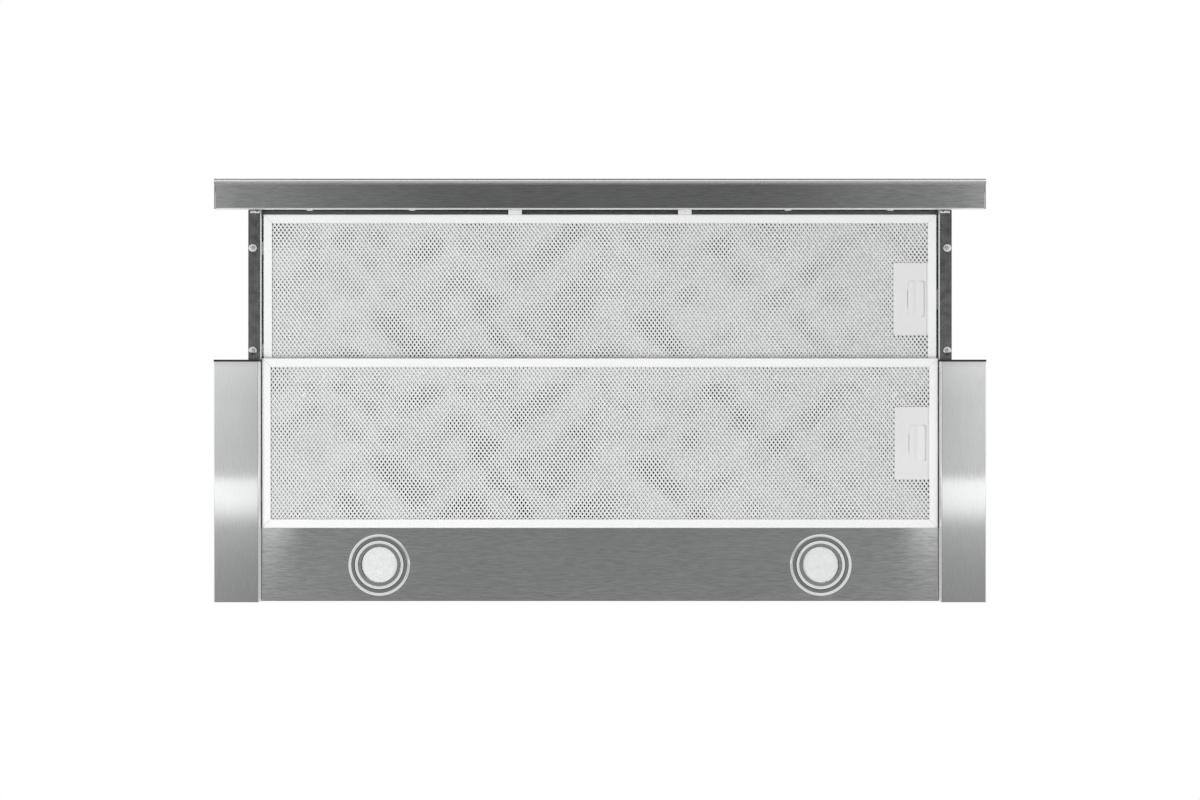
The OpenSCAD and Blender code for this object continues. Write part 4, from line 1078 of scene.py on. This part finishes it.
# %% Lamps
RIDGE_R = 26.6
RIDGE_H = 1.5
BAND_UP = 2.2
CUP = [(28.35, -0.2), (24.9, -0.2), (24.6, 0.4), (21.2, 0.4), (21.2, 5.9), (22.5, 5.9), (22.5, 2.8),
       (26, 1.1), (28.35, 1.1)]
PAN = [(29.3, -0.3), (28.9, 0.3), (28.4, 0.3), (28.4, 1.1), (28.8, 1.1), (28.8, 9), (30.4, 9), (30.4, 0)]
PAN_EDGE = 0.6
RIM = [(0, -0.05), (0.1, -0.45), (1.75, -RIDGE_H), (2.0, -RIDGE_H), (3.2, -0.45), (3.25, -0.25),
       (0.65, -0.25), (0.55, -0.05)]
RIDGE = [(28.3, -0.15), (28.2, -0.45), (RIDGE_R + 0.1, -RIDGE_H), (RIDGE_R - 0.1, -RIDGE_H),
         (25.2, -0.45), (25.2, -0.15)]
DOME_SINK = 0.9


def lamp(side):
    name = side_name(side)
    low, high = box_mm(name + "_lamp_bezel")
    centre = Vector(((low.x + high.x) / 2, (low.y + high.y) / 2, low.z + BAND_UP))
    outer = (high.x - low.x) / 2
    edge = outer - PAN_EDGE
    parts = (("_bezel_cup", [CUP], steel_along_x),
             ("_bezel_pan", [[(edge, 0), (edge, -0.3), *PAN]], pan_steel_painted_dark),
             ("_bezel_rings", [[(outer - r, h) for r, h in RIM], RIDGE], satin_nickel))
    for part, profiles, finish in parts:
        form = bmesh.new()
        for profile in profiles:
            turned(form, profile, centre)
        make_piece(name + part, form, name + "_lamp_bezel", finish=finish)
    lens_low, lens_high = box_mm(name + "_lamp_lens")
    radius = (lens_high.x - lens_low.x) / 2
    dome = [(radius * s, lens_low.z + DOME_SINK * s ** 2.6) for s in (0.0, 0.3, 0.55, 0.75, 0.9, 1.0)]
    form = bmesh.new()
    turned(form, [*dome, (radius, lens_high.z), (0, lens_high.z)], (centre.x, centre.y, 0))
    make_piece(name + "_opal_lens", form, name + "_lamp_lens", smooth_below=50)


for side in (-1, 1):
    lamp(side)
print("two lamps")

# %% [markdown]
# ## Screws
#
# Every screw is a cold-headed pan head: a low dome with a cross recess, and a plain shank. The CAD
# nodes hold a group each, so the places and directions are read from them, and sorted so that every
# run takes them in one order. One screw is modelled for each size, and turned into each place.

# %% Screws
SHANK_R = 1.9
TIP_R = 1.3
TIP_H = 0.6
# The cross recess: half its length and half its width.
CROSS = 2.3, 0.42
# Points further out than this share of the radius belong to the head.
HEAD_SHARE = 0.98
# Each screw has stopped at its own angle, this many degrees after the one before.
SCREW_TURN = 37


def loose_parts(node):
    """The point lists of the separate solids of a node."""
    form = cad_form(node, merged=False)
    waiting = set(form.verts)
    parts = []
    while waiting:
        found = [waiting.pop()]
        part = []
        while found:
            vert = found.pop()
            part.append(vert.co.copy())
            for edge in vert.link_edges:
                other = edge.other_vert(vert)
                if other in waiting:
                    waiting.remove(other)
                    found.append(other)
        parts.append(part)
    form.free()
    return sorted(parts, key=lambda part: min(tuple(round(c, 2) for c in point) for point in part))


def pan_head(radius, height, shank):
    """A screw with its head below z = 0 and its shank above."""
    form = bmesh.new()
    dome = [(radius * math.sin(math.radians(a)), -height * (0.15 + 0.85 * math.cos(math.radians(a))))
            for a in range(0, 91, 15)]
    profile = [*dome, (radius, 0), (SHANK_R, 0), (SHANK_R, shank - TIP_H), (TIP_R, shank), (0, shank)]
    turned(form, profile, steps=32)
    cross = bmesh.new()
    reach, half = CROSS
    corners = [(-reach, -half), (reach, -half), (reach, half), (-reach, half)]
    for turn in (0, 90):
        arm = bmesh.new()
        loft(arm, [[(x * k, y * k, z) for x, y in corners]
                   for k, z in ((1.05, -height - 0.5), (0.6, -height * 0.25))])
        arm.transform(Matrix.Rotation(math.radians(turn), 4, "Z"))
        mesh = bpy.data.meshes.new("arm")
        arm.to_mesh(mesh)
        arm.free()
        cross.from_mesh(mesh)
        bpy.data.meshes.remove(mesh)
    return cut(form, cross)


def fit_screws(node, head_height):
    """Puts a screw in the place of every solid in a node."""
    form = bmesh.new()
    templates = {}
    for index, part in enumerate(loose_parts(node)):
        low = Vector([min(p[i] for p in part) for i in range(3)])
        high = Vector([max(p[i] for p in part) for i in range(3)])
        size = high - low
        along = min(range(3), key=lambda i: abs(size[(i + 1) % 3] - size[(i + 2) % 3]))
        middle = (low + high) / 2
        others = [i for i in range(3) if i != along]
        radius = max(size[i] for i in others) / 2
        centre = [middle[i] for i in others]
        rim = [p[along] for p in part if math.dist([p[i] for i in others], centre) > HEAD_SHARE * radius]
        head_low = sum(rim) / len(rim) < middle[along]
        key = round(radius, 2), round(size[along] - head_height, 2)
        if key not in templates:
            shaped = clean(pan_head(radius, head_height, size[along] - head_height))
            templates[key] = bpy.data.meshes.new("screw")
            shaped.to_mesh(templates[key])
            shaped.free()
        way = Vector([0, 0, 0])
        way[along] = 1 if head_low else -1
        seat = middle.copy()
        seat[along] = low[along] + head_height if head_low else high[along] - head_height
        count = len(form.verts)
        form.from_mesh(templates[key])
        form.verts.ensure_lookup_table()
        spin = Matrix.Rotation(math.radians(SCREW_TURN * index), 4, "Z")
        place = Matrix.Translation(seat) @ way.to_track_quat("Z", "Y").to_matrix().to_4x4() @ spin
        bmesh.ops.transform(form, matrix=place, verts=form.verts[count:])
    for template in templates.values():
        bpy.data.meshes.remove(template)
    make_piece(node[:-1] + "_set", form, node)


for node, head_height in (("fascia_screws", 1.8), ("arm_screws", 2.2), ("body_screws", 1.6)):
    fit_screws(node, head_height)
print("three sets of screws")

# %% [markdown]
# ## Arms, rails and plain sheets
#
# The arms are L sections of 1.2 mm steel with a tab across the front end. They get a true bend.
# The other sheets, rails and mouldings have the right shape in the CAD model already, with sharp
# edges. No real edge is sharp, so each gets a copy whose edges are broken by a small round.

# %% Arms
ARM_SHEET = 1.2
ARM_BEND = 0.8
RELIEF = 2.6


def arm(side):
    node = side_name(side) + "_arm"
    low, high = box_mm("right_arm")
    form = bmesh.new()
    angle = folded([(low.x, high.z), (low.x, low.z), (high.x, low.z)], ARM_SHEET, ARM_BEND)
    extruded(form, angle, "Y", low.y + ARM_SHEET + 0.05, high.y)
    tab = rounded(high.x - low.x, high.z - low.z, 1.2, ((low.x + high.x) / 2, (low.z + high.z) / 2))
    extruded(form, tab, "Y", low.y, low.y + ARM_SHEET)
    holes = bmesh.new()
    frame_low, frame_high = box_mm("front_filter_frame")
    middle = (frame_low.y + frame_high.y) / 2
    clear = ARM_SHEET + 0.2
    block(holes, (low.x + 2, low.y + clear, low.z - 1),
          (high.x - 2.5, low.y + clear + RELIEF, low.z + ARM_SHEET + 1))
    tabs = [(middle + way * TAB_SPAN / 2, TAB_W) for way in (-1, 1)] if side < 0 else [(middle, TONGUE_W)]
    for y, width in tabs:
        half = width / 2 + SIDE_ROOM
        block(holes, (low.x - 1, y - half, frame_high.z - TAB_T - 0.2),
              (low.x + 2, y + half, frame_high.z + 0.3))
    make_piece(node + "_bracket", mirrored(cut(form, holes), side), node)


for side in (-1, 1):
    arm(side)
print("two arms")

# %% Softened copies
def soften(node, edge):
    """A copy of a CAD node with its edges rounded by edge millimetres."""
    make_piece(node + "_shape", cad_form(node), node, edge=edge)


for node, edge in {"lamp_panel": 0.25, "front_rail": 0.25, "rear_rail": 0.25, "drawer_deck": 0.25,
                   "left_outer_rail": 0.3, "right_outer_rail": 0.3, "left_inner_rail": 0.3,
                   "right_inner_rail": 0.3, "left_pod_cap": 0.35, "right_pod_cap": 0.35,
                   "filter_stops": 0.8, "led_driver": 0.8, "drawer_switch": 0.4, "terminal_box": 0.5,
                   "cable_gland": 0.6, "motor": 0.8, "capacitor": 0.8, "left_led_housing": 0.3,
                   "right_led_housing": 0.3, "lamp_clips": 0.15, "scroll_left": 0.4,
                   "scroll_right": 0.4}.items():
    soften(node, edge)

# One merged face can't go round a big opening, and a rounded edge would slide along thin triangles.
# So the pierced sheets keep their triangles and their cut edges.
for node in "motor_box", "chassis_tray", "control_housing", "motor_bracket":
    make_piece(node + "_shape", cad_form(node, merged=False), node)
print("softened sheets and mouldings")

# %% [markdown]
# ## Pressed beads on the blower's box
#
# A big flat sheet drums when the fan runs. The press shop rolls long round beads into it, which
# stiffen it for nothing. Each bead is a low half oval swept along a line, and its ends run out flat.
# The corner laps are held by spot welds, which leave round dimples.

# %% Beads and welds
BEAD_W = 8
BEAD_H = 1.2
BEAD_END = 4
# How deep the edges of a bead lie in the sheet.
SUNK = 0.3
# How far the box's side walls lie from the middle plane, and where its front wall is.
WALL_X = 260
WALL_Y = -119
LONG_BEAD = 230
LONG_BEAD_Y = -85
SIDE_BEADS = 110, 235
# Beads behind GLAND_FROM_Y are pressed on the right only.
TOP_BEADS_Y = -20, 20, 60, 100
GLAND_FROM_Y = 50
WALL_BEADS_Z = 50, 100
WALL_BEAD_Y = -90, 110
LAPS_Y = -112, 134
LAP_HALF = 6
WELDS_Z = 20, 56, 92, 128
DIMPLE = [(0, 0), (2.2, 0.02), (2.9, 0.28), (3.3, 0.3), (3.6, 0), (3.6, -0.3), (0, -0.3)]


def bead(form, route, normal, width, height):
    """Sweeps a low half oval along a route of points. Both of its ends taper away."""
    route = [Vector(point) for point in route]
    normal = Vector(normal)
    arch = [(u * width / 2, (v - SUNK) * height + SUNK) for u, v in arc((0, SUNK), 1, 0, 180, 8)]
    rings = []
    for i, point in enumerate(route):
        way = (route[min(i + 1, len(route) - 1)] - route[max(i - 1, 0)]).normalized()
        side = way.cross(normal)
        size = 0.1 if i in (0, len(route) - 1) else 1.0
        rings.append([point + side * u * size + normal * (v * size - SUNK) for u, v in arch])
    loft(form, rings)


def straight(start, end):
    """A route along one line that leaves room for the tapered ends."""
    start, end = Vector(start), Vector(end)
    way = (end - start).normalized() * BEAD_END
    return [start, start + way, end - way, end]


box_low, box_high = box_mm("motor_box")
up = box_high.z
inner, outer = SIDE_BEADS
form = bmesh.new()
lines = [((-LONG_BEAD, LONG_BEAD_Y, up), (LONG_BEAD, LONG_BEAD_Y, up), (0, 0, 1))]
for y in TOP_BEADS_Y:
    lines.append(((inner, y, up), (outer, y, up), (0, 0, 1)))
    if y < GLAND_FROM_Y:
        lines.append(((-outer, y, up), (-inner, y, up), (0, 0, 1)))
for z in WALL_BEADS_Z:
    lines.append(((-LONG_BEAD, WALL_Y, z), (LONG_BEAD, WALL_Y, z), (0, -1, 0)))
    for side in (-1, 1):
        ends = [(side * WALL_X, y, z) for y in WALL_BEAD_Y]
        lines.append((*ends, (side, 0, 0)))
for start, end, normal in lines:
    bead(form, straight(start, end), normal, BEAD_W, BEAD_H)
make_piece("motor_box_beads", form, "motor_box", smooth_below=50)

form = bmesh.new()
for side in (-1, 1):
    for y in LAPS_Y:
        lap = [(y - LAP_HALF, 4), (y + LAP_HALF, 4), (y + LAP_HALF, up - 3), (y - LAP_HALF, up - 3)]
        extruded(form, lap, "X", side * WALL_X, side * (WALL_X + 1))
        for z in WELDS_Z:
            turned(form, [(r, side * h) for r, h in DIMPLE], (side * (WALL_X + 1), y, z), "X", 24)
make_piece("motor_box_laps", form, "motor_box", edge=0.15)
print("beads and laps on a box", round(box_high.z - box_low.z), "mm tall")

# %% [markdown]
# ## Duct collar and flaps
#
# The collar is a black moulding: a square plate with round corners, and a spigot with two grooves
# that grip the duct's tape, and a lead-in at its rim. The flaps are blanked aluminium with a round
# bead pressed in, so that they fall shut flat.

# %% Collar and flaps
collar_low, collar_high = box_mm("duct_collar")
collar_centre = (collar_low + collar_high) / 2
SPIGOT_R = 74.5
SPIGOT_T = 2.5
PLATE_T = 3
GROOVES = 14, 27
GROOVE_T = 0.7
FLAP_BEAD_R = 46
form = bmesh.new()
plate = rounded(collar_high.x - collar_low.x, collar_high.y - collar_low.y, 12,
                (collar_centre.x, collar_centre.y), 8)
extruded(form, plate, "Z", collar_low.z, collar_low.z + PLATE_T)
opening = bmesh.new()
extruded(opening, circle((collar_centre.x, collar_centre.y), SPIGOT_R - SPIGOT_T, 96), "Z",
         collar_low.z - 1, collar_low.z + PLATE_T + 1)
form = cut(form, opening)
height = collar_high.z - collar_low.z
spigot = [(SPIGOT_R - SPIGOT_T, 0.1), (SPIGOT_R, 0.1), (SPIGOT_R, PLATE_T),
          (SPIGOT_R - 0.05, PLATE_T + 0.05)]
for groove in GROOVES:
    for wide, deep in ((0, 0), (GROOVE_T, GROOVE_T), (3 - GROOVE_T, GROOVE_T), (3, 0)):
        spigot.append((SPIGOT_R - deep, groove + wide))
spigot += [(SPIGOT_R, height - 3), (SPIGOT_R - 1.2, height), (SPIGOT_R - SPIGOT_T, height)]
turned(form, spigot, (collar_centre.x, collar_centre.y, collar_low.z))
make_piece("collar_moulding", form, "duct_collar", smooth_below=40)

for name, way in (("front", -1), ("rear", 1)):
    form = cad_form(name + "_flap")
    low, high = box_mm(name + "_flap")
    pin_z = (low.z + high.z) / 2
    ring = [(collar_centre.x + x, collar_centre.y + way * (6 + y), pin_z + 0.5)
            for x, y in arc((0, 0), FLAP_BEAD_R, 12, 168, 24)]
    bead(form, ring, (0, 0, 1), 5, 0.9)
    make_piece(name + "_flap_blank", form, name + "_flap", edge=0.2)
print("collar", round(height), "mm tall")

# %% [markdown]
# ## Sizes
#
# The pieces above are meant to keep the object's size. This prints how far its bounds have grown.

# %% Check and finish
new_low, new_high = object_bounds()
growth = [round((b - a) / MM, 2) for a, b in zip((*cad_low, *cad_high), (*new_low, *new_high))]
print("grown by", growth, "mm")
